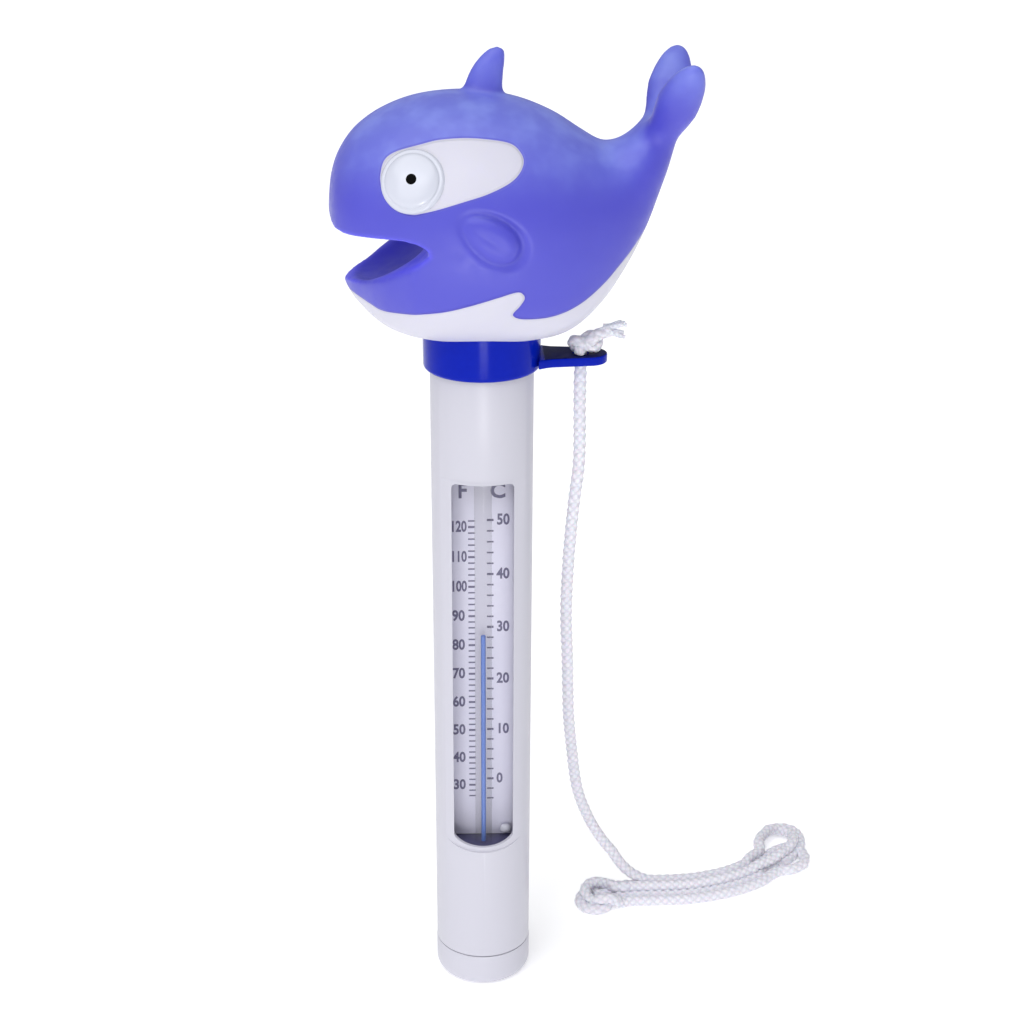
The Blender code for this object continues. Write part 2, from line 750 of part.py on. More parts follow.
def neck_profile():
    """The opening that snaps over the collar: a straight hole, wider above for the lip."""
    low = COLLAR_BOTTOM_Z
    step = COLLAR_TOP_Z - GAP
    top = LIP_TOP_Z + PLUG_FLANGE + GAP
    hole = COLLAR_R + GAP
    wide = LIP_R + GAP
    return ((0.0, low), (hole, low), (hole, step), (wide, step), (wide, top), (0.0, top))


def make_whale(materials):
    whale = plain_object("whale_shell", whale_body_mesh())
    for side in (-1, 1):
        whale = join(whale, fluke_mesh(side))
        whale = join(whale, side_fin_mesh(side))
        whale = join(whale, eye_mesh(side))
    whale = join(whale, dorsal_fin_mesh())
    whale = cut(whale, mouth_mesh(0.0))
    whale = cut(whale, jaw_scoop_mesh(0.0))
    cavity = plain_object("cavity", whale_cavity_mesh())
    cavity = cut(cavity, mouth_mesh(SKIN))
    cavity = cut(cavity, jaw_scoop_mesh(SKIN))
    whale = apply_boolean(whale, cavity, "DIFFERENCE")
    whale = cut(whale, turned_mesh("neck", neck_profile()))
    whale.data.materials.append(materials["whale_vinyl"])
    return restyle(whale)


def route_points(route, step):
    """Evenly spaced points on a smooth curve through the route."""
    fine = [Vector(spline(route, (len(route) - 1) * i / 800)) for i in range(801)]
    lengths = [0.0]
    for first, second in zip(fine, fine[1:]):
        lengths.append(lengths[-1] + (second - first).length)
    count = round(lengths[-1] / step)
    points = []
    k = 0
    for i in range(count + 1):
        target = lengths[-1] * i / count
        while k < len(fine) - 2 and lengths[k + 1] < target:
            k += 1
        share = (target - lengths[k]) / (lengths[k + 1] - lengths[k])
        points.append(fine[k].lerp(fine[k + 1], share))
    return points


def make_cord(materials):
    curve = bpy.data.curves.new("tether_cord", "CURVE")
    curve.dimensions = "3D"
    curve.bevel_depth = CORD_R
    curve.bevel_resolution = 2
    curve.use_fill_caps = True
    points = route_points(CORD_ROUTE, CORD_STEP)
    line = curve.splines.new("POLY")
    line.points.add(len(points) - 1)
    for target, point in zip(line.points, points):
        target.co = (*point, 1.0)
    curve.materials.append(materials["cord_braid"])
    item = bpy.data.objects.new("tether_cord", curve)
    bpy.context.collection.objects.link(item)


def make_knot(materials):
    centre = Vector((HOLE_X + 0.0004, 0.0, TAB_TOP_Z + GAP + KNOT_RADII[2]))
    knot = blob_mesh("cord_knot", centre, UPRIGHT, KNOT_RADII, 16, 10)
    tail = Vector((0.92, 0.10, 0.38)).normalized()
    over = Vector((0, 1, 0)) - tail * tail.y
    over.normalize()
    middle = centre + Vector((0.0045, 0.0004, 0.0022))
    directions = (tail, over, tail.cross(over))
    item = plain_object("cord_knot", knot)
    item = join(item, blob_mesh("tail", middle, directions, KNOT_TAIL_RADII, 12, 8))
    item.data.materials.append(materials["cord_braid"])
    restyle(item)


def make_hank(materials):
    """The folded cord as one flat-lying outline with round ends, wider where its loops open."""
    spans = len(HANK_LINE) - 1
    line = []
    for i in range(HANK_STEPS + 1):
        line.append(Vector((*spline(HANK_LINE, spans * i / HANK_STEPS), 0.0)))
    left = []
    right = []
    for i, point in enumerate(line):
        ahead = line[min(i + 1, HANK_STEPS)] - line[max(i - 1, 0)]
        normal = Vector((-ahead.y, ahead.x, 0.0)).normalized()
        share = (i - HANK_SWELL_START) / (HANK_STEPS - HANK_SWELL_START)
        swell = HANK_HALF_WIDTH + HANK_SWELL * max(0.0, share)
        left.append(point + normal * swell)
        right.append(point - normal * swell)
    start_cap = end_arc(line[0], right[0], left[0], line[0] - line[1])
    end_cap = end_arc(line[-1], left[-1], right[-1], line[-1] - line[-2])
    outline = [(p.x, p.y) for p in [*left, *end_cap, *reversed(right), *start_cap]]
    mesh = slab_mesh("cord_hank", outline[::-1], 0.0, HANK_HEIGHT)
    finish_object("cord_hank", mesh, materials["cord_braid"])


def end_arc(centre, start, end, outward):
    """Points of a half round between two outline points."""
    radius = (start - centre).length
    first = (start - centre).normalized()
    out = outward.normalized()
    points = []
    for i in range(1, 8):
        angle = math.pi * i / 8
        points.append(centre + (first * math.cos(angle) + out * math.sin(angle)) * radius)
    return points


def main():
    clear_scene()
    materials = make_materials()
    make_outer_tube(materials)
    make_bottom_cap(materials)
    make_ballast(materials)
    make_sleeve(materials)
    make_plug("sleeve_bottom_plug", "sleeve_bottom_seal", SLEEVE_BOTTOM_Z, 1, materials)
    make_plug("sleeve_top_plug", "sleeve_top_seal", SLEEVE_TOP_Z, -1, materials)
    make_thermometer(materials)
    make_grommet("lower_grommet", LOWER_GROMMET_Z, materials)
    make_grommet("upper_grommet", UPPER_GROMMET_Z, materials)
    make_card(materials)
    make_collar(materials)
    make_float_plug(materials)
    make_top_pad(materials)
    make_whale(materials)
    make_cord(materials)
    make_knot(materials)
    make_hank(materials)


main()
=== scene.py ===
import json
import math

import bmesh
import bpy
import numpy as np
from mathutils import Matrix, Vector

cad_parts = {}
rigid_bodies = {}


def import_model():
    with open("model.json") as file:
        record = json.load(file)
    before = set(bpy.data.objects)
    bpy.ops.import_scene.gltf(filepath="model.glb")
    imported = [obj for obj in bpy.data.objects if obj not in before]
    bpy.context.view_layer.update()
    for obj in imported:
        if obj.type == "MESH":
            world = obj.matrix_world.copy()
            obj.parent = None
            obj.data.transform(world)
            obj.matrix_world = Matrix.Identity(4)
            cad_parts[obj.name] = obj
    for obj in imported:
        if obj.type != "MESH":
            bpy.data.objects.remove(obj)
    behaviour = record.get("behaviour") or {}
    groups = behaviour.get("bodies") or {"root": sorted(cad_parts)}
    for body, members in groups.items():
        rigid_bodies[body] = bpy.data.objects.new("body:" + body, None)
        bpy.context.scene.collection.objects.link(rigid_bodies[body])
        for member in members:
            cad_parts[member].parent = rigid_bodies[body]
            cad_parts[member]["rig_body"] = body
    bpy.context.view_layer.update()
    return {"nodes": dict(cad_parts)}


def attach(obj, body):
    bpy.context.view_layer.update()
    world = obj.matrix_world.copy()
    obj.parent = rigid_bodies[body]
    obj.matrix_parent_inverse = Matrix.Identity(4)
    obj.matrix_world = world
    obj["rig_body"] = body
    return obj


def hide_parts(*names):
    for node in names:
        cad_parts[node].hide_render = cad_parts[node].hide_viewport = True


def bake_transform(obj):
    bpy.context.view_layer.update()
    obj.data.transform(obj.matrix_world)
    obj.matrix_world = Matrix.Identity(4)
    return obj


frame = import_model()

MM = 0.001
CAMERA_PLACE = (-0.00699, -0.38912, 0.27317)
CAMERA_LENS = 66.66
POINT = 1e-6  # a smaller radius than this is a point on the axis
HEAD = "float_head"
TUBE = "thermometer_tube"
LEVEL = "spirit_level"


# ---- camera


def make_camera():
    """A camera 47 cm from the thermometer, above it and a little to its left."""
    azimuth, pitch, roll = (math.radians(angle) for angle in (-2.0, 21.8, 0.23))
    back = Vector((
        math.sin(azimuth) * math.cos(pitch),
        -math.cos(azimuth) * math.cos(pitch),
        math.sin(pitch),
    ))
    level = Vector((math.cos(azimuth), math.sin(azimuth), 0.0))
    rise = back.cross(level)
    right = level * math.cos(roll) + rise * math.sin(roll)
    up = rise * math.cos(roll) - level * math.sin(roll)
    data = bpy.data.cameras.new("camera")
    data.sensor_width = 36.0
    data.lens = CAMERA_LENS
    data.clip_start = 0.01
    camera = bpy.data.objects.new("camera", data)
    bpy.context.collection.objects.link(camera)
    turn = Matrix((right, up, back)).transposed().to_4x4()
    camera.matrix_world = Matrix.Translation(CAMERA_PLACE) @ turn
    bpy.context.scene.camera = camera


make_camera()


# ---- mesh helpers


def loose_object(name, data):
    item = bpy.data.objects.new(name, data)
    bpy.context.collection.objects.link(item)
    return item


def add_piece(name, mesh, body, material, sharp=None, smooth=True):
    """Links a mesh and makes it ride on a CAD body; edges over sharp degrees stay sharp."""
    item = loose_object(name, mesh)
    if smooth:
        mesh.shade_smooth()
    mesh.materials.append(material)
    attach(item, body)
    if sharp:
        mesh.set_sharp_from_angle(angle=math.radians(sharp))
    return item


def mesh_of(name, verts, faces):
    mesh = bpy.data.meshes.new(name)
    mesh.from_pydata([tuple(v) for v in verts], [], [tuple(f) for f in faces])
    mesh.update()
    return mesh


def mesh_from(name, bm):
    mesh = bpy.data.meshes.new(name)
    bm.to_mesh(mesh)
    bm.free()
    return mesh


def face_outward(mesh):
    bm = bmesh.new()
    bm.from_mesh(mesh)
    bmesh.ops.recalc_face_normals(bm, faces=bm.faces)
    bm.to_mesh(mesh)
    bm.free()
    return mesh


def closed_mesh(name, parts):
    """Several closed skins in one mesh, in metres, facing outward."""
    verts, faces = [], []
    for points, polygons in parts:
        base = len(verts)
        verts += [tuple(np.asarray(p) * MM) for p in points]
        faces += [tuple(base + i for i in face) for face in polygons]
    return face_outward(mesh_of(name, verts, faces))


def strip_faces(sides, rings):
    """Faces of a skin over equal rings, with a first and a last point that close its ends."""
    faces = [(0, 1 + (i + 1) % sides, 1 + i) for i in range(sides)]
    for k in range(rings - 1):
        a, b = 1 + k * sides, 1 + (k + 1) * sides
        for i in range(sides):
            j = (i + 1) % sides
            faces.append((a + i, a + j, b + j, b + i))
    a, end = 1 + (rings - 1) * sides, 1 + rings * sides
    return faces + [(a + i, a + (i + 1) % sides, end) for i in range(sides)]


def prism(name, outline, front_y, back_y):
    """An (x, z) outline in mm drawn out along Y."""
    verts = [(x, y, z) for y in (front_y, back_y) for x, z in outline]
    count = len(outline)
    faces = [tuple(range(count)), tuple(range(count, 2 * count))[::-1]]
    for i in range(count):
        j = (i + 1) % count
        faces.append((i, i + count, j + count, j))
    return closed_mesh(name, [(verts, faces)])


def in_metres(profile):
    return [(r * MM, z * MM) for r, z in profile]


def turned_mesh(name, profile, centre=(0.0, 0.0), sides=128):
    """A closed (radius, z) outline turned about a vertical axis."""
    bm = bmesh.new()
    rings = []
    for radius, z in profile:
        turns = [2 * math.pi * i / sides for i in range(sides)]
        ring = [(centre[0] + radius * math.cos(t), centre[1] + radius * math.sin(t), z) for t in turns]
        rings.append([bm.verts.new(v) for v in (ring if radius > POINT else [(*centre, z)])])
    for k, first in enumerate(rings):
        second = rings[(k + 1) % len(rings)]
        for i in range(sides):
            j = (i + 1) % sides
            if len(first) == 1 and len(second) == 1:
                break
            if len(first) == 1:
                bm.faces.new((first[0], second[j], second[i]))
            elif len(second) == 1:
                bm.faces.new((first[i], first[j], second[0]))
            else:
                bm.faces.new((first[i], first[j], second[j], second[i]))
    bmesh.ops.recalc_face_normals(bm, faces=bm.faces)
    return mesh_from(name, bm)


def arc(centre_r, centre_z, radius, start, end, steps=8):
    points = []
    for i in range(steps + 1):
        angle = math.radians(start + (end - start) * i / steps)
        points.append((centre_r + radius * math.cos(angle), centre_z + radius * math.sin(angle)))
    return points


def evaluated(item):
    graph = bpy.context.evaluated_depsgraph_get()
    return bpy.data.meshes.new_from_object(item.evaluated_get(graph))


def modified(item, kind, **settings):
    """Runs one modifier on an object's mesh and keeps the result."""
    modifier = item.modifiers.new(kind, kind)
    for key, value in settings.items():
        setattr(modifier, key, value)
    result = evaluated(item)
    item.modifiers.clear()
    old = item.data
    item.data = result
    bpy.data.meshes.remove(old)
    return item


def cut(item, cutter):
    """Cuts one object's shape out of another and removes the cutter."""
    item = modified(item, "BOOLEAN", operation="DIFFERENCE", solver="EXACT", object=cutter)
    bpy.data.objects.remove(cutter, do_unlink=True)
    return item


def bevelled(item, width, degrees):
    """Rounds the edges sharper than an angle."""
    limit = math.radians(degrees)
    return modified(item, "BEVEL", width=width, segments=3, limit_method="ANGLE", angle_limit=limit)


def taken(item):
    """An object's mesh, with the object itself removed."""
    mesh = item.data
    bpy.data.objects.remove(item, do_unlink=True)
    return mesh


def joined(name, meshes):
    bm = bmesh.new()
    for mesh in meshes:
        bm.from_mesh(mesh)
    return mesh_from(name, bm)


def store(mesh, name, values):
    """Keeps one number per vertex for the materials to read."""
    attribute = mesh.attributes.new(name, "FLOAT", "POINT")
    attribute.data.foreach_set("value", np.clip(values, -10, 10).astype(np.float32))


def spline(values, t):
    """Catmull-Rom value through a list of tuples at parameter t from 0 to len - 1."""
    last = len(values) - 1
    k = min(int(t), last - 1)
    u = t - k
    p0 = np.asarray(values[max(k - 1, 0)], float)
    p1 = np.asarray(values[k], float)
    p2 = np.asarray(values[k + 1], float)
    p3 = np.asarray(values[min(k + 2, last)], float)
    cubic = 2 * p1 + (p2 - p0) * u + (2 * p0 - 5 * p1 + 4 * p2 - p3) * u**2
    return (cubic + (3 * p1 - p0 - 3 * p2 + p3) * u**3) / 2


def splined(values, spans):
    """A finer line through the given tuples, in equal steps of the parameter."""
    return [spline(values, (len(values) - 1) * i / spans) for i in range(spans + 1)]


def lengths_along(points):
    return np.concatenate([[0.0], np.cumsum(np.linalg.norm(np.diff(points, axis=0), axis=1))])


def resampled(points, step):
    """Evenly spaced points along a polyline."""
    points = np.asarray(points, float)
    lengths = lengths_along(points)
    count = max(2, round(lengths[-1] / step))
    wanted = np.linspace(0.0, lengths[-1], count + 1)
    return np.stack([np.interp(wanted, lengths, points[:, k]) for k in range(3)], axis=1)


# ---- cord

CORD_D = 0.0024
CORD_D_MM = 2.4
CORD_LOW, CORD_HIGH = 1.2, 3.4
LAYOUT_STEP = 1.2
BRAID_STEP = 0.2
BRAID_SWELL = 1.2
KNOT_SWELL = 1.16
HANGING_ABOVE = 12.0
HANGING = (
    (21.2, 0.0, 154.6), (21.2, 0.0, 152.2), (21.2, 0.6, 144.0), (21.4, 2.0, 129.0),
    (20.5, 3.6, 118.0), (19.7, 5.8, 104.0), (19.5, 8.6, 89.0), (20.2, 11.5, 74.5),
    (20.8, 14.5, 60.0), (22.1, 18.0, 47.0), (23.8, 21.0, 35.0), (27.0, 23.8, 25.0),
    (30.6, 25.6, 17.7), (33.8, 26.8, 12.9), (36.4, 27.8, 8.9), (39.4, 28.4, 5.9),
)
HANK_GUIDE = (
    (29.0, 24.2), (34.0, 25.4), (40.0, 26.2), (46.0, 26.3), (52.0, 26.5),
    (58.0, 27.6), (64.0, 29.6), (69.0, 32.3), (73.5, 35.8),
)


def hank_run(across, height, first, last):
    """One pass along the hank, beside its guide line, from one guide point to another."""
    step = 1 if last > first else -1
    points = []
    guide = np.array(HANK_GUIDE)
    for i in range(first, last + step, step):
        way = guide[min(i + 1, len(guide) - 1)] - guide[max(i - 1, 0)]
        way = way / np.linalg.norm(way)
        place = guide[i] + np.array((-way[1], way[0])) * across
        points.append((place[0], place[1], height))
    return points


def fold(centre, sizes, heading, start, end, low, high, steps=14):
    """A flat oval loop: half length and half width, angles from its heading, from low to high."""
    turn = math.radians(heading)
    along = np.array((math.cos(turn), math.sin(turn)))
    beside = np.array((-along[1], along[0]))
    points = []
    for i in range(steps + 1):
        share = i / steps
        angle = math.radians(start + (end - start) * share)
        place = np.array(centre) + along * sizes[0] * math.cos(angle)
        place = place + beside * sizes[1] * math.sin(angle)
        points.append((place[0], place[1], low + (high - low) * share))
    return points


def cord_layout():
    """The whole cord: the hanging run, then six passes of the hank with their folds."""
    low, high = CORD_LOW, CORD_HIGH
    line = list(HANGING)
    line += hank_run(2.4, high, 3, 7)
    line += fold((79.4, 46.8), (7.8, 4.5), 66, 140, -140, high, high)
    line += hank_run(0.0, high, 7, 1)
    line += fold((31.2, 24.0), (4.6, 3.9), 192, -105, 105, high + 0.4, high)
    line += hank_run(-3.6, low, 1, 7)
    line += fold((80.2, 40.8), (6.4, 5.0), 38, -140, 140, low, low)
    line += hank_run(-1.2, low, 7, 1)
    line += fold((30.2, 23.4), (5.0, 4.4), 192, 105, -105, low, low)
    line += hank_run(3.6, low, 1, 7)
    line += fold((80.4, 48.4), (9.0, 5.0), 66, 140, -140, low, low)
    line += hank_run(1.2, low, 7, 0)
    return resampled(splined(line, 5000), LAYOUT_STEP)


# Settling: fall per round and least span of four steps in mm, then shares of each correction.
SAG = 0.006
OPEN_SPAN = 4.55
STIFFNESS = 0.15
PUSH = 0.4
EASE = 0.12


def pushes(points, first, second, amounts):
    """The sum at each point of pushes that part pairs of points."""
    push = np.zeros_like(points)
    np.add.at(push, second, amounts)
    np.add.at(push, first, -amounts)
    return push


def settled(points, pinned, rounds=220):
    """Lets the cord's passes push each other apart and rest on the ground, keeping its length."""
    points = points.copy()
    count = len(points)
    step = np.linalg.norm(np.diff(points, axis=0), axis=1).mean()
    free = np.where(np.arange(count) < pinned, 0.0, 1.0)[:, None]
    reach = 4
    first, second = np.triu_indices(count, reach)
    for turn in range(rounds):
        points[:, 2] -= SAG * free[:, 0]
        for start in (0, 1):
            a = np.arange(start, count - 1, 2)
            gap = points[a + 1] - points[a]
            long = np.linalg.norm(gap, axis=1, keepdims=True)
            shift = gap * (long - step) / long / 2
            points[a] += shift * free[a]
            points[a + 1] -= shift * free[a + 1]
        a = np.arange(count - reach)
        gap = points[a + reach] - points[a]
        long = np.linalg.norm(gap, axis=1, keepdims=True)
        short = np.clip(OPEN_SPAN - long, 0, None)
        points += pushes(points, a, a + reach, gap / long * short * STIFFNESS) * free
        gap = points[second] - points[first]
        long = np.linalg.norm(gap, axis=1)
        close = long < CORD_D_MM
        pairs = gap[close]
        size = long[close][:, None] + 1e-9
        push = pushes(points, first[close], second[close], pairs / size * (CORD_D_MM - size) * PUSH)
        points += np.clip(push, -PUSH, PUSH) * free
        points[:, 2] = np.maximum(points[:, 2], CORD_LOW)
        if turn % 4 == 0:
            middle = (points[:-2] + points[2:]) / 2
            points[1:-1] += (middle - points[1:-1]) * EASE * free[1:-1]
    return points


def frames_along(points):
    """Two directions across a path at each of its points, turned as little as possible."""
    ways = np.gradient(points, axis=0)
    ways /= np.linalg.norm(ways, axis=1, keepdims=True)
    side = np.cross(ways[0], (0.0, 1.0, 0.2))
    sides = []
    for way in ways:
        side = side - way * side.dot(way)
        side = side / np.linalg.norm(side)
        sides.append(side)
    sides = np.array(sides)
    return sides, np.cross(ways, sides)


def braid_mesh(name, points, radius, carriers=4, pitch=2.1 * MM, relief=0.26, sides=24, taper=None):
    """A round braid: a tube whose surface is woven strands passing over and under each other."""
    across, over = frames_along(points)
    lengths = lengths_along(points)
    angle = np.linspace(0, 2 * np.pi, sides, endpoint=False)
    turn = carriers * angle[None, :] / (2 * np.pi)
    along = lengths[:, None] / pitch
    one, two = turn + along, turn - along
    on_top = (np.floor(one) + np.floor(two)) % 2 < 1
    main = np.where(on_top, one, two) % 1.0
    under = np.where(on_top, two, one) % 1.0
    height = np.sin(np.pi * main) ** 0.6 * (0.55 + 0.45 * np.sin(np.pi * under))
    r = radius * (1 - relief + relief * height)
    if taper is not None:
        r = r * taper[:, None]
    ring = across[:, None, :] * np.cos(angle)[None, :, None]
    ring = ring + over[:, None, :] * np.sin(angle)[None, :, None]
    verts = (points[:, None, :] + ring * r[:, :, None]).reshape(-1, 3)
    rows = len(points)
    base = np.arange(rows - 1)[:, None] * sides
    i = np.arange(sides)[None, :]
    j = (i + 1) % sides
    quads = np.stack([base + i, base + j, base + sides + j, base + sides + i], axis=-1).reshape(-1, 4)
    ends = [range(sides)[::-1], range((rows - 1) * sides, rows * sides)]
    mesh = mesh_of(name, verts, quads.tolist() + ends)
    store(mesh, "weave", height.ravel())
    return mesh


CORD_MATERIAL = bpy.data.materials.new("cord_braid_nylon")

layout = cord_layout()
hanging_count = int((layout[:, 2] > HANGING_ABOVE).nonzero()[0].max())
layout = settled(layout, hanging_count)
cord_line = resampled(splined(layout, 8000), BRAID_STEP) * MM
cord_mesh = braid_mesh("tether_braid", cord_line, CORD_D / 2 * BRAID_SWELL)
cord = add_piece("tether_braid", cord_mesh, HEAD, CORD_MATERIAL)
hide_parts("tether_cord", "cord_hank")


def knot_line():
    """An overhand knot pulled small above the tab's hole, and the end that leaves it."""
    centre = np.array((22.1, -0.9, 156.4))
    line = [(21.2, 0.0, 153.4), (21.2, 0.0, 154.4), (20.9, -0.4, 155.0)]
    for i in range(31):
        t = math.radians(148 - 296 * i / 30)
        loop = (
            (math.sin(t) + 2 * math.sin(2 * t)) * 0.92,
            (math.cos(t) - 2 * math.cos(2 * t)) * 0.72,
            -math.sin(3 * t) * 0.98 + 0.35 * (math.sin(t) + 2 * math.sin(2 * t)) * 0.5,
        )
        line.append(tuple(centre + loop))
    return line + [(24.8, -1.6, 158.6), (26.4, -1.3, 159.0), (27.6, -1.1, 159.4)]


def frayed_end():
    """The cut end's yarns, spread into two tufts."""
    rng = np.random.default_rng(11)
    root = np.array((26.9, -1.1, 159.6))
    meshes = []
    for tuft, tip in enumerate(((30.4, -1.3, 160.8), (29.9, -0.9, 158.1))):
        for _ in range(9):
            spread = rng.normal(size=3) * (0.34, 0.40, 0.30)
            end = np.array(tip) + spread + (rng.uniform(-0.7, 0.2), 0.0, 0.0)
            bend = (root + end) / 2 + rng.normal(size=3) * 0.14 + (0.0, 0.0, 0.25 - 0.5 * tuft)
            start = root + rng.normal(size=3) * 0.25 + (-0.8, 0.0, 0.2 - 0.4 * tuft)
            path = np.array(splined((start, bend, end), 16)) * MM
            taper = np.linspace(1.0, 0.6, len(path))
            meshes.append(braid_mesh("yarn", path, 0.68 * MM, 3, 0.9 * MM, 0.10, 10, taper))
    return meshes


knot_path = resampled(splined(knot_line(), 1500), BRAID_STEP) * MM
knot_braid = braid_mesh("knot", knot_path, CORD_D / 2 * KNOT_SWELL)
knot = add_piece("tether_knot", joined("tether_knot", [knot_braid, *frayed_end()]), HEAD, CORD_MATERIAL)
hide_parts("cord_knot")


# ---- materials


class Nodes:
    """Short calls for building a material's node tree around one Principled shader."""

    def __init__(self, name):
        known = bpy.data.materials.get(name)
        self.material = known or bpy.data.materials.new(name)
        self.material.use_nodes = True
        self.tree = self.material.node_tree
        self.shader = self.tree.nodes["Principled BSDF"]
        self.coordinates = self.node("TexCoord").outputs["Object"]

    def node(self, kind, inputs=None, **settings):
        """A new node; inputs maps its sockets to values or to other nodes' outputs."""
        node = self.tree.nodes.new("ShaderNode" + kind)
        for key, value in settings.items():
            setattr(node, key, value)
        for key, value in (inputs or {}).items():
            if isinstance(value, (int, float, tuple)):
                node.inputs[key].default_value = value
            else:
                self.tree.links.new(value, node.inputs[key])
        return node

    def set(self, **values):
        for key, value in values.items():
            self.shader.inputs[key.replace("_", " ")].default_value = value

    def link(self, output, target):
        self.tree.links.new(output, self.shader.inputs[target])

    def noise(self, scale, detail=3.0, stretch=None):
        source = self.coordinates
        if stretch:
            source = self.node("Mapping", {"Scale": stretch, "Vector": source}).outputs["Vector"]
        return self.node("TexNoise", {"Scale": scale, "Detail": detail, "Vector": source}).outputs["Fac"]

    def attribute(self, name):
        return self.node("Attribute", attribute_name=name).outputs["Fac"]

    def math(self, operation, first, second=0.0, third=0.0):
        return self.node("Math", {0: first, 1: second, 2: third}, operation=operation).outputs[0]

    def span(self, source, low, high, to_low=0.0, to_high=1.0):
        inputs = {"Value": source, "From Min": low, "From Max": high, "To Min": to_low, "To Max": to_high}
        return self.node("MapRange", inputs, interpolation_type="SMOOTHSTEP").outputs["Result"]

    def mix(self, share, first, second):
        inputs = {"Factor": share, "A": first, "B": second}
        return self.node("Mix", inputs, data_type="RGBA").outputs["Result"]

    def bump(self, height, distance, strength=1.0):
        node = self.node("Bump", {"Strength": strength, "Distance": distance, "Height": height})
        self.link(node.outputs["Normal"], "Normal")


def rgb(*display):
    """Linear colour from a display colour of 0 to 255."""
    linear = [((c / 255 + 0.055) / 1.055) ** 2.4 if c > 10 else c / 255 / 12.92 for c in display]
    return (*linear, 1.0)


def plain_material(name, noise, dark, light, bump=None, **settings):
    """Two near tones on a noise; bump is its noise scale, noise detail, depth and strength."""
    n = Nodes(name)
    n.set(**settings)
    n.link(n.mix(n.noise(*noise), dark, light), "Base Color")
    if bump:
        n.bump(n.noise(*bump[:2]), *bump[2:])
    return n.material


def satin_plastic(name, color, roughness, mottle=0.02, depth=0.00002, coat=0.0, shine=0.5):
    """Moulded plastic: very slight mottling and a fine uneven surface."""
    n = Nodes(name)
    n.set(Roughness=roughness, Coat_Weight=coat, Coat_Roughness=0.1, Specular_IOR_Level=shine)
    light = tuple(min(1.0, c * (1 + mottle)) for c in color[:3]) + (1.0,)
    dark = tuple(c * (1 - mottle * 2) for c in color[:3]) + (1.0,)
    n.link(n.mix(n.noise(60.0, 4.0), dark, light), "Base Color")
    n.link(n.span(n.noise(300.0, 5.0), 0.3, 0.7, roughness - 0.03, roughness + 0.03), "Roughness")
    n.bump(n.noise(900.0, 2.0), depth, 0.6)
    return n.material


def braid_material():
    """White nylon yarns, with painted shade making them a little darker in the gaps of the weave."""
    n = Nodes("cord_braid_nylon")
    n.set(Sheen_Weight=0.3, Sheen_Roughness=0.4, Subsurface_Weight=0.15, Subsurface_Scale=0.0006)
    fibre = n.noise(2600.0, 2.0, (1.0, 1.0, 0.25))
    tone = n.mix(n.noise(420.0, 3.0), rgb(228, 227, 236), rgb(243, 242, 249))
    tone = n.mix(n.span(fibre, 0.3, 0.7, 0.0, 0.35), tone, rgb(212, 210, 222))
    # Painted shade: low places between the strands get a darker colour.
    gap = n.span(n.attribute("weave"), 0.25, 0.85)
    n.link(n.mix(gap, rgb(214, 213, 223), tone), "Base Color")
    n.link(n.span(fibre, 0.3, 0.7, 0.5, 0.7), "Roughness")
    n.bump(fibre, 0.00010, 0.5)


braid_material()
TUBE_PLASTIC = satin_plastic("tube_white", rgb(198, 197, 208), 0.34, 0.006, 0.00001)


def collar_material():
    """Deep blue gloss; the tab's upper face gets painted shade, nearly navy, for the float's shadow over it.
    """
    n = Nodes("collar_blue")
    n.set(Specular_IOR_Level=0.09)
    tone = n.mix(n.noise(700.0, 4.0), rgb(3, 27, 162), rgb(5, 32, 174))
    upward = n.span(n.attribute("upward"), 0.5, 0.95)
    # Painted shade: upward faces of the tab go nearly navy.
    n.link(n.mix(upward, tone, rgb(4, 11, 76)), "Base Color")
    rough = n.span(n.noise(500.0, 3.0), 0.3, 0.7, 0.15, 0.19)
    n.link(n.math("ADD", rough, n.math("MULTIPLY", upward, 0.3)), "Roughness")
    n.bump(n.noise(900.0, 3.0), 0.000006, 0.6)
    return n.material


COLLAR_BLUE = collar_material()

# ---- whale

# The back and belly from nose to tail: (back x, back z, belly x, belly z, half width), in mm.
STATIONS = (
    (-31.4, 189.3, -31.0, 181.0, 5.0), (-30.8, 193.5, -29.9, 174.5, 10.5),
    (-29.2, 197.8, -28.4, 169.6, 14.5), (-25.7, 202.5, -25.2, 165.3, 18.0),
    (-19.8, 206.5, -19.6, 161.0, 21.0), (-12.0, 209.1, -12.0, 158.8, 23.0),
    (-2.0, 209.8, -2.0, 157.9, 23.6), (7.0, 208.4, 9.0, 158.2, 22.6),
    (14.5, 205.5, 18.0, 160.2, 20.2), (20.0, 202.1, 25.0, 166.2, 16.8),
    (24.4, 199.6, 30.4, 174.3, 13.2), (27.6, 199.7, 34.2, 182.0, 10.0),
    (30.2, 201.3, 37.1, 190.0, 7.8), (31.9, 203.0, 39.4, 196.8, 6.4),
    (33.6, 204.6, 40.2, 200.8, 5.2), (35.8, 205.6, 39.9, 203.9, 3.4),
)
NOSE, TAIL = (-31.7, 0.0, 185.6), (38.0, 0.0, 205.0)
BELLY_FLATNESS = 2.4
# Below JAW_TOP the body narrows over JAW_FADE mm, to these shares of its width at each x.
JAW_TOP, JAW_FADE = 181.5, 3.0
JAW_WIDTHS = (
    (-29.2, 0.10), (-28.5, 0.27), (-27.1, 0.48), (-25.1, 0.62), (-22.9, 0.76), (-19.8, 0.88), (-14.0, 1.0),
)
FINE_VOXEL, FINEST_VOXEL = 0.0005, 0.00042


def pointed_jaw(ring):
    """Draws the lower jaw in towards its tip; the snout above it keeps its width."""
    x, z = ring[:, 0], ring[:, 2]
    narrow = np.interp(x, *zip(*JAW_WIDTHS))
    share = np.clip((JAW_TOP - z) / JAW_FADE, 0.0, 1.0)
    ring[:, 1] *= 1 - share * (1 - narrow)
    return ring


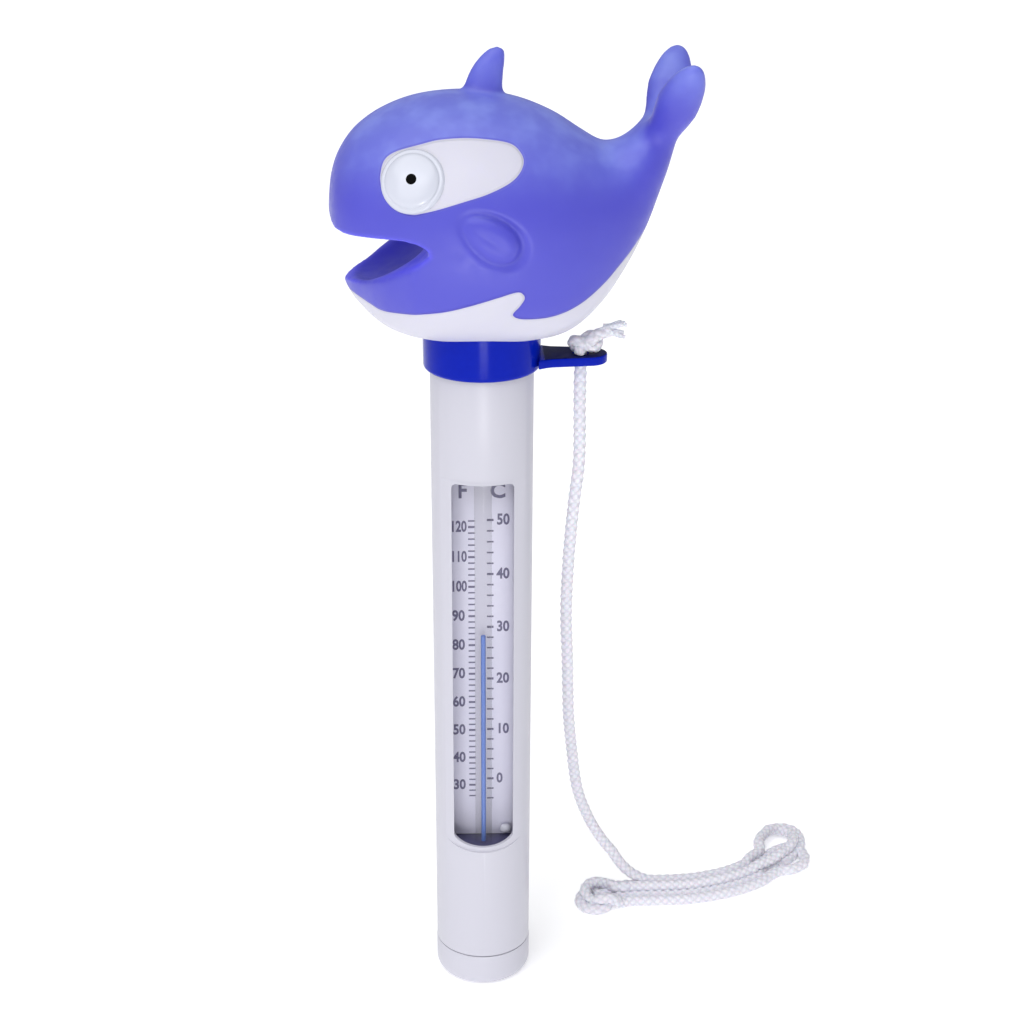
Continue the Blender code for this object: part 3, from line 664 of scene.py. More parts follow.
def body_loft(sides=96, per_span=8):
    """The body's skin through the stations, flatter below than above."""
    rings = []
    for s in range((len(STATIONS) - 1) * per_span + 1):
        back_x, back_z, belly_x, belly_z, half = spline(STATIONS, s / per_span)
        middle = np.array(((back_x + belly_x) / 2, 0.0, (back_z + belly_z) / 2))
        rise = np.array(((back_x - belly_x) / 2, 0.0, (back_z - belly_z) / 2))
        angle = np.linspace(0, 2 * np.pi, sides, endpoint=False)
        across, over = np.cos(angle), np.sin(angle)
        low = over < 0
        power = 2 / BELLY_FLATNESS
        across[low] = np.sign(across[low]) * np.abs(across[low]) ** power
        over[low] = -(np.abs(over[low]) ** power)
        ring = middle + rise * over[:, None] + np.array((0.0, 1.0, 0.0)) * (across * half)[:, None]
        rings.append(ring)
    verts = [NOSE]
    for ring in rings:
        verts += [tuple(p) for p in pointed_jaw(ring)]
    verts.append(TAIL)
    return verts, strip_faces(sides, len(rings))


def blob(centre, axes, radii, sides=40, rings=24):
    """An ellipsoid on three directions, as vertices and faces in mm."""
    axes = [np.array(a, float) / np.linalg.norm(a) for a in axes]
    centre = np.array(centre)
    verts = [centre - axes[2] * radii[2]]
    for k in range(1, rings):
        phi = -math.pi / 2 + math.pi * k / rings
        for i in range(sides):
            t = 2 * math.pi * i / sides
            place = centre + axes[0] * radii[0] * math.cos(phi) * math.cos(t)
            place = place + axes[1] * radii[1] * math.cos(phi) * math.sin(t)
            verts.append(place + axes[2] * radii[2] * math.sin(phi))
    verts.append(centre + axes[2] * radii[2])
    return verts, strip_faces(sides, rings - 1)


def swept_levels(levels, start, end, sides=32):
    """A skin over flat rings: each level is (front x, rear x, half thickness, z)."""
    verts = [start]
    for front, rear, half, z in levels:
        for i in range(sides):
            t = 2 * math.pi * i / sides
            verts.append(((front + rear) / 2 + (rear - front) / 2 * math.cos(t), half * math.sin(t), z))
    verts.append(end)
    return verts, strip_faces(sides, len(levels))


def dorsal_fin():
    coarse = (
        (-4.8, 5.0, 3.2, 206.6), (-3.9, 4.5, 2.5, 209.8), (-3.1, 4.5, 2.2, 212.0),
        (-2.2, 4.7, 2.0, 214.0), (-1.1, 4.9, 1.8, 215.6), (0.1, 5.0, 1.5, 217.0),
        (1.5, 4.8, 1.1, 218.1),
    )
    return swept_levels(splined(coarse, 24), (0.2, 0.0, 206.0), (3.2, 0.0, 218.7))


def fluke(side):
    along = np.array((0.26, 0.60 * side, 0.78))
    along /= np.linalg.norm(along)
    chord = np.array((1.0, 0.0, 0.0)) - along * along[0]
    across = np.cross(along, chord)
    return blob((38.7, 7.4 * side, 207.1), (chord, across, along), (4.7, 3.2, 12.6))


MOUTH_OUTLINE = (
    (-40.0, 190.0), (-33.5, 187.0), (-31.6, 185.2), (-29.6, 184.1), (-26.6, 183.8), (-20.0, 183.9),
    (-16.0, 183.8), (-12.9, 183.1), (-10.9, 181.9), (-10.7, 180.9), (-13.0, 179.0),
    (-17.2, 176.7), (-20.4, 175.0), (-24.6, 173.1), (-29.6, 170.8), (-34.0, 169.4), (-40.0, 168.0),
)


def jaw_cutter():
    """The spoon-shaped hollow in the lower jaw."""
    along = (0.90, 0.0, 0.43)
    up = (-0.43, 0.0, 0.90)
    scoop = blob((-18.8, 0.0, 177.6), (along, (0, 1, 0), up), (10.2, 14.5, 5.2))
    return closed_mesh("scoop", [scoop])


def whale_mesh():
    """Body, fins and flukes fused into one skin, with the mouth cut and the corners softened."""
    parts = [body_loft(), dorsal_fin(), fluke(-1), fluke(1)]
    item = loose_object("whale", closed_mesh("whale", parts))
    item = modified(item, "REMESH", mode="VOXEL", voxel_size=FINE_VOXEL, adaptivity=0.0)
    item = modified(item, "SMOOTH", factor=0.5, iterations=10)
    for cutter_mesh in (prism("mouth", MOUTH_OUTLINE, -30.0, 30.0), jaw_cutter()):
        item = cut(item, loose_object("cutter", cutter_mesh))
    item = modified(item, "REMESH", mode="VOXEL", voxel_size=FINEST_VOXEL, adaptivity=0.0)
    item = modified(item, "SMOOTH", factor=0.5, iterations=7)
    mesh = taken(item)
    soften(mesh, ((-20.5, 0.0, 178.5), (14.5, 27.0, 8.0)), 110)
    soften(mesh, ((35.0, 0.0, 202.5), (10.0, 14.0, 10.0)), 130)
    soften(mesh, ((0.0, 0.0, 208.5), (7.5, 5.0, 3.0)), 14)
    return mesh


def soften(mesh, region, rounds):
    """Rounds the surface off inside an ellipsoid, fading out towards its edge."""
    points = positions(mesh)
    centre, radii = np.array(region[0]) * MM, np.array(region[1]) * MM
    share = np.clip(1.6 - 1.6 * np.linalg.norm((points - centre) / radii, axis=1), 0.0, 1.0)
    edges = np.zeros(len(mesh.edges) * 2, dtype=np.int32)
    mesh.edges.foreach_get("vertices", edges)
    edges = edges.reshape(-1, 2)
    edges = edges[(share[edges] > 0).any(axis=1)]
    count = len(points)
    degree = np.maximum(np.bincount(edges.ravel(), minlength=count), 1)
    for _ in range(rounds):
        for k in range(3):
            total = np.bincount(edges[:, 0], points[edges[:, 1], k], count)
            total += np.bincount(edges[:, 1], points[edges[:, 0], k], count)
            points[:, k] += (total / degree - points[:, k]) * share * 0.6
    move_to(mesh, points)


def vertex_rows(mesh, key):
    flat = np.zeros(len(mesh.vertices) * 3)
    mesh.vertices.foreach_get(key, flat)
    return flat.reshape(-1, 3)


def positions(mesh):
    return vertex_rows(mesh, "co")


def normals(mesh):
    return vertex_rows(mesh, "normal")


def move_to(mesh, points):
    mesh.vertices.foreach_set("co", points.ravel())
    mesh.update()


def line_distance(x, z, outline, closed):
    """Distance from points to a polyline, and whether each is inside the closed outline."""
    points = np.array(outline, float)
    ends = np.roll(points, -1, axis=0) if closed else points[1:]
    starts = points if closed else points[:-1]
    best = np.full(len(x), 1e9)
    inside = np.zeros(len(x), bool)
    for (ax, az), (bx, bz) in zip(starts, ends):
        dx, dz = bx - ax, bz - az
        t = np.clip(((x - ax) * dx + (z - az) * dz) / (dx * dx + dz * dz), 0, 1)
        best = np.minimum(best, np.hypot(x - ax - t * dx, z - az - t * dz))
        crosses = (az > z) != (bz > z)
        with np.errstate(divide="ignore", invalid="ignore"):
            at = ax + (z - az) / (bz - az) * dx
        inside ^= crosses & (x < at)
    return best, inside


def smooth_outline(outline, closed, steps=8):
    """A finer outline through the given points."""
    points = list(outline)
    if closed:
        points = [points[-1], *points, points[0], points[1]]
        spans = steps * len(outline)
        return [tuple(spline(points, 1 + len(outline) * i / spans)) for i in range(spans)]
    return [tuple(p) for p in splined(points, steps * (len(points) - 1))]


EYE_PATCH = (
    (-20.2, 195.9), (-19.4, 198.7), (-17.0, 200.4), (-11.9, 201.9), (-8.3, 202.7), (-3.1, 203.0),
    (2.0, 202.6), (5.6, 201.8), (7.4, 200.3), (8.0, 198.6), (7.1, 196.6), (5.0, 194.9), (0.8, 193.1),
    (-3.3, 191.9), (-8.4, 190.4), (-12.0, 189.5), (-14.0, 189.2), (-16.6, 189.8), (-18.6, 191.7),
    (-19.9, 193.8),
)
BELLY_LINE = (
    (-36.0, 170.6), (-28.0, 169.2), (-23.3, 168.1), (-20.8, 167.4), (-16.5, 167.7), (-12.3, 168.2),
    (-7.5, 169.0), (-2.3, 170.5), (2.9, 172.2), (6.6, 173.3), (7.9, 172.8), (8.2, 171.7), (7.2, 170.0),
    (5.9, 168.2), (7.2, 167.1), (9.9, 166.8), (13.6, 167.0), (17.4, 168.1), (21.2, 170.1), (25.0, 173.1),
    (27.8, 175.9), (29.8, 177.9), (31.1, 179.3), (32.6, 181.0), (34.2, 182.8), (36.5, 184.2),
)
BELLY_CLOSE = ((60.0, 184.2), (60.0, 140.0), (-60.0, 140.0), (-60.0, 170.6))


def raise_side_fins(points, normal):
    """A leaf standing proud on each side: its rear edge lifts over a groove, its root melts in."""
    centre = np.array((1.7, 184.4))
    along = np.array((0.82, -0.572))
    x, z = points[:, 0] / MM - centre[0], points[:, 2] / MM - centre[1]
    a = x * along[0] + z * along[1]
    b = -x * along[1] + z * along[0]
    width = 3.8 * (1 + 0.16 * a / 7.0)
    reach = np.sqrt((a / 6.3) ** 2 + (b / width) ** 2)
    beside = (np.abs(points[:, 1]) / MM > 14.0)
    free = np.clip(0.62 + 0.34 * a / 7.0 + 0.22 * b / width, 0.2, 1.0)
    dome = np.clip(1 - reach**2.4, 0, 1) ** 0.7 * 1.35 * free
    rear = np.clip(0.60 + 0.50 * (a / 7.0 + 1.1 * b / width) / 1.3, 0.45, 1.15)
    hollow = -0.72 * np.exp(-(((reach - 1.08) / 0.20) ** 2)) * rear
    crease = -0.34 * np.exp(-(((b + 0.5) / 1.1) ** 2)) * np.clip(1 - reach, 0, 1)
    lift = (dome + hollow + crease) * beside * MM
    return points + normal * lift[:, None]


def make_whale():
    """The finished skin, with the distance of each vertex inside the painted outlines."""
    mesh = whale_mesh()
    points = raise_side_fins(positions(mesh), normals(mesh))
    move_to(mesh, points)
    x, z = points[:, 0] / MM, points[:, 2] / MM
    away, inside = line_distance(x, z, smooth_outline(EYE_PATCH, True), True)
    patch = np.where(inside, away, -away)
    patch[np.abs(points[:, 1]) / MM < 6.0] = -10.0
    line = smooth_outline(BELLY_LINE, False)
    away, _ = line_distance(x, z, line, False)
    _, inside = line_distance(x, z, line + list(BELLY_CLOSE), True)
    belly = np.where(inside, away, -away)
    store(mesh, "patch_mm", patch)
    away, inside = line_distance(x, z, list(MOUTH_OUTLINE), True)
    store(mesh, "mouth_mm", np.where(inside, away, -away))
    store(mesh, "belly_mm", belly)
    store(mesh, "upward", normals(mesh)[:, 2])
    return mesh


def vinyl_material():
    """Translucent soft vinyl, painted white in the eye patches and under the belly. Painted light makes the
    upward faces and highest parts paler and the mouth's hollow brighter; painted shade darkens the blue along
    the paint edges.
    """
    n = Nodes("whale_vinyl_painted")
    n.set(Subsurface_Weight=0.22, Subsurface_Scale=0.003, IOR=1.45)
    n.shader.inputs["Subsurface Radius"].default_value = (0.5, 0.5, 1.0)
    patch, belly = n.attribute("patch_mm"), n.attribute("belly_mm")
    white = n.math("MAXIMUM", n.span(patch, -0.08, 0.08), n.span(belly, -0.08, 0.08))
    nearest = n.math("MINIMUM", n.math("ABSOLUTE", patch), n.math("ABSOLUTE", belly))
    edge = n.span(nearest, 0.10, 0.42, 1.0, 0.0)
    blue = n.mix(n.noise(45.0, 3.0), rgb(76, 74, 192), rgb(88, 88, 203))
    split = n.node("SeparateXYZ", {0: n.coordinates})
    # Painted light: upward faces above the jaw and the highest parts (dorsal fin, fluke tips) turn a paler
    # blue in soft clouds.
    painted_light_high = n.span(split.outputs["Z"], 0.205, 0.215, 0.0, 0.5)
    up = n.math("MULTIPLY", n.span(n.attribute("upward"), 0.1, 0.95), 0.8)
    up = n.math("MULTIPLY", up, n.span(split.outputs["Z"], 0.186, 0.198))
    cloud = n.span(n.noise(160.0, 2.0), 0.35, 0.75, 0.55, 1.0)
    share = n.math("MULTIPLY", n.math("MAXIMUM", painted_light_high, up), cloud)
    blue = n.mix(share, blue, rgb(134, 149, 232))
    # Painted light: the mouth's hollow is a brighter blue than the body, against the shade inside it, a
    # little darker towards the back.
    deep = n.span(split.outputs["X"], -0.029, -0.012)
    mouth = n.mix(deep, rgb(114, 110, 255), rgb(104, 100, 248))
    blue = n.mix(n.span(n.attribute("mouth_mm"), -1.2, 1.0), blue, mouth)
    # Painted shade: the blue darkens in the groove along the edges of the white paint.
    blue = n.mix(n.math("MULTIPLY", edge, 0.45), blue, rgb(70, 60, 190))
    pale = n.mix(n.noise(90.0, 3.0), rgb(204, 203, 217), rgb(210, 209, 223))
    n.link(n.mix(white, blue, pale), "Base Color")
    n.link(n.span(n.noise(500.0, 4.0), 0.3, 0.7, 0.36, 0.46), "Roughness")
    groove = n.span(nearest, 0.0, 0.45, 0.0, 1.0)
    fine = n.math("MULTIPLY", n.noise(1400.0, 2.0), 0.05)
    n.bump(n.math("ADD", groove, fine), 0.00022, 0.9)
    return n.material


WHALE = add_piece("whale_skin", make_whale(), HEAD, vinyl_material())
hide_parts("whale_shell")


def dome_mesh(name, centre, out, profile, sides=64):
    """A shape turned about an outward axis: profile is (radius, height above centre)."""
    out = np.array(out, float) / np.linalg.norm(out)
    first = np.cross(out, (0.0, 0.0, 1.0))
    first /= np.linalg.norm(first)
    second = np.cross(out, first)
    verts, faces, rings = [], [], []
    for radius, height in profile:
        base = np.array(centre) + out * height
        if radius < POINT:
            rings.append([len(verts)])
            verts.append(base * MM)
            continue
        ring = []
        for i in range(sides):
            t = 2 * math.pi * i / sides
            ring.append(len(verts))
            verts.append((base + (first * math.cos(t) + second * math.sin(t)) * radius) * MM)
        rings.append(ring)
    for a, b in zip(rings, rings[1:]):
        for i in range(sides):
            j = (i + 1) % sides
            if len(a) == 1:
                faces.append((a[0], b[i], b[j]))
            elif len(b) == 1:
                faces.append((a[i], a[j], b[0]))
            else:
                faces.append((a[i], a[j], b[j], b[i]))
    return face_outward(mesh_of(name, verts, faces))


def eye_profile():
    """A shallow dome inside a soft rim."""
    points = [
        (0.0, -3.0), (6.3, -3.0), (6.55, -1.2), (6.5, 0.2),
        (6.25, 0.62), (5.95, 0.78), (5.7, 0.76), (5.5, 0.80),
    ]
    for i in range(1, 13):
        angle = math.radians(90 * i / 12)
        points.append((5.5 * math.cos(angle), 0.80 + 1.35 * math.sin(angle)))
    points[-1] = (0.0, 2.15)
    return points


EYE_WHITE = satin_plastic("eye_white_paint", rgb(205, 208, 221), 0.22, 0.01, 0.00001, 0.3)
EYE_BLACK = satin_plastic("eye_black_paint", rgb(3, 3, 4), 0.5, 0.01, 0.00001, 0.0, 0.05)
PUPIL_PROFILE = [(0.0, 1.6), (1.5, 1.6), (1.5, 2.06), (1.3, 2.2), (0.7, 2.31), (0.0, 2.34)]
for side, label in ((-1, "near"), (1, "far")):
    middle = (-13.8, 19.3 * side, 195.1)
    out = (-0.22, 0.88 * side, 0.41)
    spot = (-13.65, 19.2 * side, 195.1)
    eye = add_piece(f"eye_dome_{label}", dome_mesh("eye", middle, out, eye_profile()), HEAD, EYE_WHITE)
    pupil = dome_mesh("pupil", spot, out, PUPIL_PROFILE, 32)
    dot = add_piece(f"eye_pupil_{label}", pupil, HEAD, EYE_BLACK)

# ---- collar


TAB_LOW, TAB_HIGH = 152.2, 154.2
TAB_TIP_X, TAB_TIP_R = 22.9, 4.0
HOLE_X, HOLE_R = 21.2, 1.7


def collar_mesh():
    """The ring and its tapered tether tab; "upward" marks the tab's upper face, which the material darkens
    with painted shade.
    """
    profile = [(11.6, 151.2), *arc(11.6, 152.2, 1.0, -90, 0), (12.7, 165.0), (11.6, 165.0)]
    body = turned_mesh("collar", in_metres(profile), sides=160)
    root = [(11.9, 6.6), (12.6, 6.0), (13.6, 5.4), (15.0, 4.9)]
    outline = [(x, -y) for x, y in root] + arc(TAB_TIP_X, 0.0, TAB_TIP_R, -90, 90, 24) + root[::-1]
    count = len(outline)
    verts = [(x * MM, y * MM, z * MM) for z in (TAB_LOW, TAB_HIGH) for x, y in outline]
    faces = [tuple(range(count))[::-1], tuple(range(count, 2 * count))]
    for i in range(count):
        j = (i + 1) % count
        faces.append((i, j, j + count, i + count))
    tab = loose_object("tab", mesh_of("tab", verts, faces))
    hole = in_metres([(0, 150), (HOLE_R, 150), (HOLE_R, 157), (0, 157)])
    tab = cut(tab, loose_object("cutter", turned_mesh("hole", hole, (HOLE_X * MM, 0), 48)))
    tab = bevelled(tab, 0.00035, 50)
    mesh = joined("collar_ring", [body, taken(tab)])
    out = positions(mesh)[:, 0] > 12.9 * MM
    store(mesh, "upward", normals(mesh)[:, 2] * out)
    return mesh


COLLAR = add_piece("collar_ring", collar_mesh(), HEAD, COLLAR_BLUE, 35)
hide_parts("collar")

# ---- outer tube and cap


TUBE_LOW, TUBE_HIGH, TUBE_BORE = 8.5, 156.5, 9.7
# Half width, bottom, bottom at the sides, top and corner radius of the opening and of its sunk frame.
OPENING = (6.8, 38.0, 40.6, 127.6, 1.2)
FRAME = (9.3, 36.9, 40.2, 128.7, 1.4)
FRAME_ROUND, FRAME_SHIFT = 12.2, 1.72


def tube_radius(z):
    """The tube's outside radius in mm at a height: a slight draft."""
    return 11.0 + 0.2 * z / TUBE_HIGH


def window_outline(half, low, side_low, high, corner):
    """The window as (x, z): straight sides, small top corners and an arched bottom end."""
    inner, top = half - corner, high - corner
    quarter = [math.pi / 2 * i / 8 for i in range(9)]
    arch = [math.pi * i / 32 for i in range(33)]
    points = [(inner + corner * math.sin(a), top + corner * math.cos(a)) for a in quarter]
    points += [(half * math.cos(a), side_low - (side_low - low) * math.sin(a)) for a in arch]
    return points + [(-inner - corner * math.cos(a), top + corner * math.sin(a)) for a in quarter]


def tube_mesh():
    """The tube with its window, sunk into a frame that follows a rounder curve than the tube."""
    profile = [(tube_radius(z), z) for z in (TUBE_LOW, TUBE_HIGH)]
    profile += [(TUBE_BORE, TUBE_HIGH), (TUBE_BORE, TUBE_LOW)]
    tube = loose_object("tube", turned_mesh("tube", in_metres(profile), sides=256))
    recess = loose_object("recess", prism("recess", window_outline(*FRAME), -14.0, -1.0))
    keep = in_metres([(0, 20), (FRAME_ROUND, 20), (FRAME_ROUND, 140), (0, 140)])
    recess = cut(recess, loose_object("face", turned_mesh("face", keep, (0.0, FRAME_SHIFT * MM), 256)))
    opening = loose_object("cutter", prism("opening", window_outline(*OPENING), -14.0, -1.0))
    for cutter in (recess, opening):
        tube = cut(tube, cutter)
    return taken(bevelled(tube, 0.00022, 28))


TUBE_PIECE = add_piece("tube_shell", tube_mesh(), TUBE, TUBE_PLASTIC, 30)
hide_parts("outer_tube")


def cap_mesh():
    profile = [
        (0.0, 0.0), *arc(8.5, 2.6, 2.6, -90, 0, 12), (11.1, 7.9), (10.95, 8.2), (9.4, 8.2),
        (9.4, 15.9), (8.3, 15.9), (8.3, 1.8), (0.0, 1.8),
    ]
    return turned_mesh("cap", in_metres(profile), sides=160)


CAP = add_piece("cap_end", cap_mesh(), TUBE, TUBE_PLASTIC, 35)
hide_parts("bottom_cap")

# ---- inside the window

# In mm: the scale's zero and its degree, the card's face, the stem and the spirit's top.
ZERO_C = 51.62
DEGREE = 1.298
CARD_FRONT = -2.3
STEM = (0.1, -4.7)
STEM_R, STEM_BOTTOM, STEM_TOP = 1.9, 32.8, 138.0
THREAD_R = 0.56
LEVEL_Z = 89.52


def clear_material(name, tint, gloss=0.04, least=0.02):
    """Clear walls: light passes straight through, and the share mirrored grows at a grazing view."""
    n = Nodes(name)
    for unused in (n.shader, n.coordinates.node):
        n.tree.nodes.remove(unused)
    through = n.node("BsdfTransparent", {"Color": tint})
    mirror = n.node("BsdfGlossy", {"Roughness": gloss})
    facing = n.node("LayerWeight", {"Blend": 0.5})
    steep = n.math("POWER", facing.outputs["Facing"], 5.0)
    share = n.math("MULTIPLY_ADD", steep, 0.7, least)
    ends = {"Fac": share, 1: through.outputs["BSDF"], 2: mirror.outputs["BSDF"]}
    mix = n.node("MixShader", ends)
    n.tree.links.new(mix.outputs["Shader"], n.tree.nodes["Material Output"].inputs["Surface"])
    return n.material


SLEEVE_CLEAR = clear_material("sleeve_clear", (0.995, 0.995, 1.0, 1.0))
STEM_GLASS = clear_material("stem_glass", (0.955, 0.955, 0.955, 1.0), 0.08, 0.015)


PAPER = plain_material(
    "card_stock", (800.0, 4.0), rgb(225, 223, 240), rgb(231, 229, 245), (2500.0, 3.0, 0.00002, 0.5),
    Roughness=0.55,
)
INK = plain_material(
    "card_ink", (3000.0, 2.0), rgb(104, 101, 130), rgb(120, 116, 144),
    Roughness=0.5, Specular_IOR_Level=0.2,
)
SPIRIT = plain_material(
    "spirit_dyed", (200.0, 3.0), rgb(88, 122, 204), rgb(98, 132, 210), Roughness=0.12, Coat_Weight=0.4,
)
# Dark rubber; its dark tone is partly painted shade, for the dark inside of the tube below the card.
RUBBER_AND_SHADE = plain_material(
    "rubber_dark_and_shade", (400.0, 4.0), rgb(80, 78, 112), rgb(90, 88, 124), (1500.0, 3.0, 0.00003, 0.6),
    Roughness=0.6,
)


def sleeve_piece():
    profile = [(8.8, 18.7), (8.8, 145.0), (7.9, 145.0), (7.9, 18.7)]
    sleeve = turned_mesh("sleeve", in_metres(profile), sides=192)
    piece = add_piece("sleeve_wall", sleeve, TUBE, SLEEVE_CLEAR, 35)
    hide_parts("inner_sleeve")


def box_part(low, high):
    (x0, y0, z0), (x1, y1, z1) = low, high
    verts = [(x, y, z) for z in (z0, z1) for x, y in ((x0, y0), (x1, y0), (x1, y1), (x0, y1))]
    faces = [(0, 3, 2, 1), (4, 5, 6, 7), (0, 1, 5, 4), (1, 2, 6, 5), (2, 3, 7, 6), (3, 0, 4, 7)]
    return verts, faces


def text_mesh(text, x, z, height, condense, align):
    """Letters lying on the card's front, from the built-in font."""
    data = bpy.data.curves.new("text", "FONT")
    data.body = text
    data.align_x = align
    data.align_y = "CENTER"
    data.size = 1.0
    data.offset = 0.03
    data.extrude = 0.008
    data.resolution_u = 3
    item = loose_object("text", data)
    mesh = evaluated(item)
    bpy.data.objects.remove(item, do_unlink=True)
    mesh.materials.clear()
    points = positions(mesh)
    size = height / 0.70 * MM
    placed = np.stack([
        points[:, 0] * size * condense + x * MM,
        np.full(len(points), CARD_FRONT * MM - 0.00002) - np.where(points[:, 2] > 0, 0.00002, -0.00001),
        points[:, 1] * size + z * MM,
    ], axis=1)
    move_to(mesh, placed)
    return mesh


def card_pieces():
    """The card and its raised print: a Celsius scale on the right, a Fahrenheit one on the left."""
    low, high = (-7.2, CARD_FRONT, 36.8), (7.2, CARD_FRONT + 0.4, 133.5)
    card = loose_object("card", closed_mesh("card", [box_part(low, high)]))
    card = modified(card, "BEVEL", width=0.0001, segments=2)
    piece = add_piece("scale_sheet", taken(card), TUBE, PAPER, 35)
    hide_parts("scale_card")
    marks = []
    front = CARD_FRONT - 0.03
    for celsius in range(-4, 52, 2):
        z = ZERO_C + celsius * DEGREE
        half = 0.27 if celsius % 10 == 0 else 0.18
        marks.append(box_part((0.98, front, z - half), (2.46, CARD_FRONT, z + half)))
    for fahrenheit in range(26, 124, 2):
        z = ZERO_C + (fahrenheit - 32) / 1.8 * DEGREE - 0.2
        half = 0.25 if fahrenheit % 10 == 0 else 0.17
        marks.append(box_part((-3.18, front, z - half), (-1.70, CARD_FRONT, z + half)))
    meshes = [closed_mesh("marks", marks)]
    for celsius in range(0, 60, 10):
        meshes.append(text_mesh(str(celsius), 3.15, ZERO_C + celsius * DEGREE + 0.05, 2.5, 0.80, "LEFT"))
    for fahrenheit in range(30, 130, 10):
        z = ZERO_C + (fahrenheit - 32) / 1.8 * DEGREE
        edge, narrow = (-3.47, 0.68) if fahrenheit > 99 else (-4.0, 0.80)
        meshes.append(text_mesh(str(fahrenheit), edge, z - 0.15, 2.5, narrow, "RIGHT"))
    meshes.append(text_mesh("F", -4.4, 123.3, 3.4, 0.88, "CENTER"))
    meshes.append(text_mesh("C", 3.4, 123.3, 3.4, 1.0, "CENTER"))
    print_piece = add_piece("scale_print", joined("scale_print", meshes), TUBE, INK, smooth=False)


def stem_pieces():
    """The glass stem, the spirit that stretches in it and the spirit's rounded top."""
    place = (STEM[0] * MM, STEM[1] * MM)
    top = arc(0.0, STEM_TOP - STEM_R, STEM_R, 0, 90)
    outside = [(0.0, STEM_BOTTOM), (STEM_R, STEM_BOTTOM), *top[:-1], (0.0, STEM_TOP)]
    stem = add_piece("stem_glass", turned_mesh("stem", in_metres(outside), place, 64), TUBE, STEM_GLASS, 35)
    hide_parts("glass_stem")
    low, high = STEM_BOTTOM, LEVEL_Z - 0.6
    rings = [(THREAD_R, low + (high - low) * i / 60) for i in range(61)]
    profile = in_metres([(0.0, low), *rings, (0.0, high)])
    column = add_piece("spirit_thread", turned_mesh("thread", profile, place, 24), TUBE, SPIRIT, 35)
    column.parent = None
    column.matrix_world = Matrix.Identity(4)
    del column["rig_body"]
    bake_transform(column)
    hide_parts("spirit_column")
    end = [
        (0.0, high - 0.05), (0.55, high - 0.05), (THREAD_R, high + 0.45),
        (0.5, high + 0.58), (0.25, high + 0.50), (0.0, high + 0.46),
    ]
    tip = add_piece("spirit_end", turned_mesh("end", in_metres(end), place, 24), LEVEL, SPIRIT, 60)
    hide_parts("spirit_meniscus")


def grommet_pieces():
    """Rubber discs with rounded rims that hold the stem; the lower disc's dark tone is partly painted shade
    for the inside of the tube at the window's bottom.
    """
    discs = (("grommet_low", "lower_grommet", 33.2, 36.5), ("grommet_high", "upper_grommet", 133.8, 137.2))
    for name, node, low, high in discs:
        lower, upper = arc(7.3, low + 0.3, 0.3, -90, 0, 4), arc(7.3, high - 0.3, 0.3, 0, 90, 4)
        profile = [(0.0, low), *lower, *upper, (0.0, high)]
        piece = add_piece(name, turned_mesh(name, in_metres(profile), sides=96), TUBE, RUBBER_AND_SHADE, 35)
        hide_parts(node)


def bead_piece():
    """A dab of white glue at the card's lower corner."""
    bm = bmesh.new()
    bmesh.ops.create_icosphere(bm, subdivisions=4, radius=1.0)
    rng = np.random.default_rng(7)
    bumps = rng.normal(size=(7, 3))
    bumps /= np.linalg.norm(bumps, axis=1, keepdims=True)
    for vert in bm.verts:
        way = np.array(vert.co)
        lump = 1 + 0.10 * np.exp(-((1 - bumps @ way) * 4) ** 2).sum() - 0.05
        place = way * lump * np.array((1.35, 0.85, 1.15))
        vert.co = Vector(place + (5.35, -3.35, 38.9)) * MM
    glue = satin_plastic("glue_white", rgb(208, 208, 218), 0.35)
    piece = add_piece("glue_dab", mesh_from("bead", bm), TUBE, glue)
    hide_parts("card_fixing_bead")


sleeve_piece()
card_pieces()
stem_pieces()
grommet_pieces()
bead_piece()

# ---- the CAD nodes that stay


def metal_material():
    """Turned steel: the noise is drawn out round the slug."""
    n = Nodes("ballast_steel")
    n.set(Metallic=1.0)
    n.link(n.mix(n.noise(120.0, 4.0, (1.0, 1.0, 12.0)), rgb(150, 150, 154), rgb(176, 176, 180)), "Base Color")
    n.link(n.span(n.noise(600.0, 3.0, (1.0, 1.0, 20.0)), 0.3, 0.7, 0.28, 0.42), "Roughness")
    return n.material


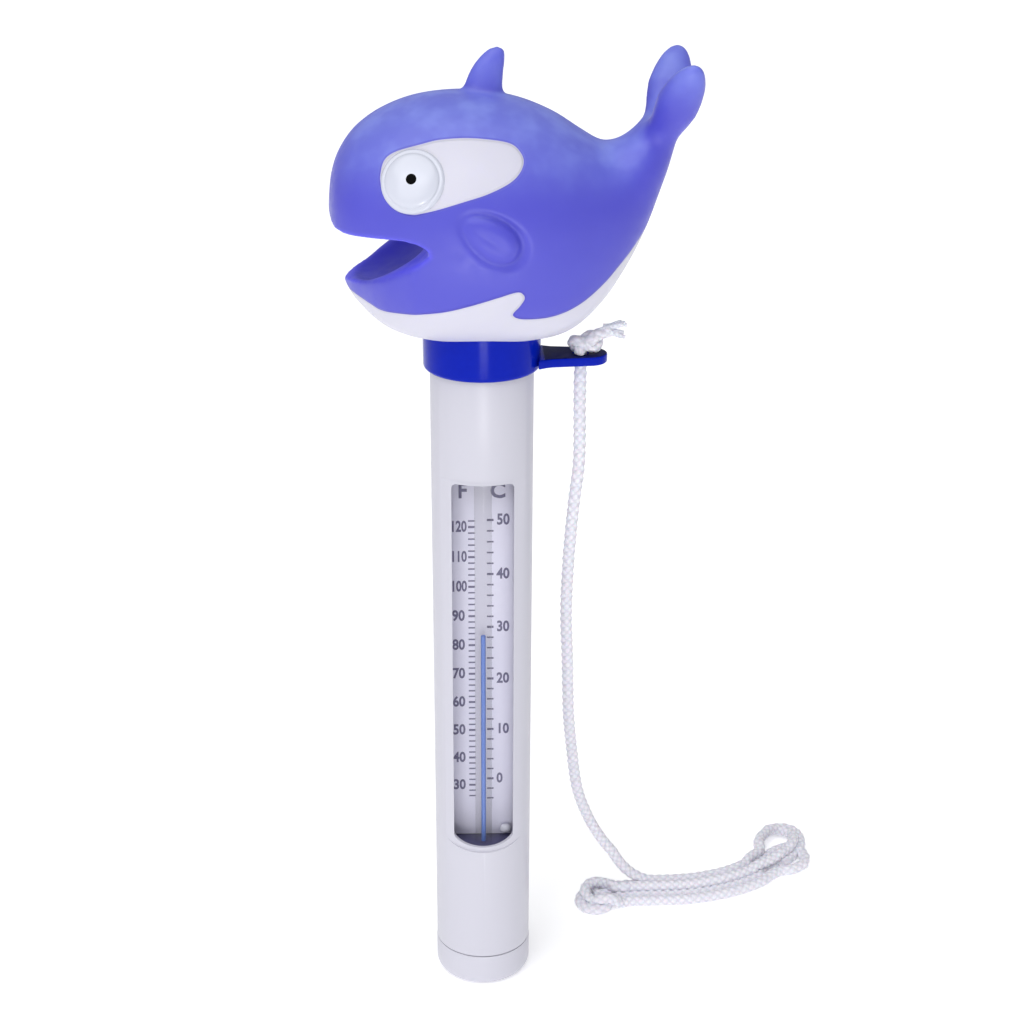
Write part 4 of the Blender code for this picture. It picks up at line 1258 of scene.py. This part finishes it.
def dress_cad_nodes():
    """Gives the inner CAD nodes, told by a part of their names, their materials."""
    foam = plain_material(
        "pad_foam", (900.0, 5.0), rgb(110, 110, 116), rgb(146, 146, 152), (1800.0, 4.0, 0.0002, 1.0),
        Roughness=0.95,
    )
    looks = {
        "bulb": STEM_GLASS, "seal": RUBBER_AND_SHADE, "plug": TUBE_PLASTIC, "spirit": SPIRIT,
        "pad": foam, "slug": metal_material(),
    }
    for name, item in frame["nodes"].items():
        for part, material in looks.items():
            if name.endswith(part) or name.startswith(part + "_"):
                for slot in item.material_slots:
                    slot.material = material


dress_cad_nodes()

# ---- studio


def area_light(name, place, target, width, height, power):
    data = bpy.data.lights.new(name, "AREA")
    data.shape = "RECTANGLE"
    data.size, data.size_y = width, height
    data.energy = power
    item = loose_object(name, data)
    item.location = place
    item.rotation_euler = (Vector(target) - Vector(place)).to_track_quat("-Z", "Y").to_euler()


def studio():
    """Pale surround, key light, low card for the collar's gleam, wide sun, white floor."""
    world = bpy.data.worlds.new("studio")
    bpy.context.scene.world = world
    world.use_nodes = True
    back = world.node_tree.nodes["Background"]
    back.inputs["Color"].default_value = (0.97, 0.98, 1.0, 1.0)
    back.inputs["Strength"].default_value = 0.38
    area_light("key", (-0.50, -0.98, 0.72), (0.0, 0.0, 0.12), 0.75, 0.75, 2.3)
    area_light("low_card", (0.018, -0.40, 0.012), (0.0, 0.0, 0.16), 0.10, 0.13, 0.42)
    sun = bpy.data.lights.new("soft_top", "SUN")
    sun.energy = 1.75
    sun.angle = math.radians(70)
    lamp = loose_object("soft_top", sun)
    lamp.rotation_euler = (math.radians(22), math.radians(-12), 0)
    mesh = mesh_of("floor", [(-4, -4, 0), (4, -4, 0), (4, 4, 0), (-4, 4, 0)], [(0, 1, 2, 3)])
    floor = loose_object("floor", mesh)
    n = Nodes("floor_white")
    n.set(Roughness=0.9, Specular_IOR_Level=0.1, Emission_Strength=0.3)
    tone = n.mix(n.noise(2.0), (0.945, 0.945, 0.95, 1.0), (0.955, 0.955, 0.96, 1.0))
    n.link(tone, "Base Color")
    n.link(tone, "Emission Color")
    mesh.materials.append(n.material)
    bpy.context.scene.view_settings.view_transform = "Standard"


studio()
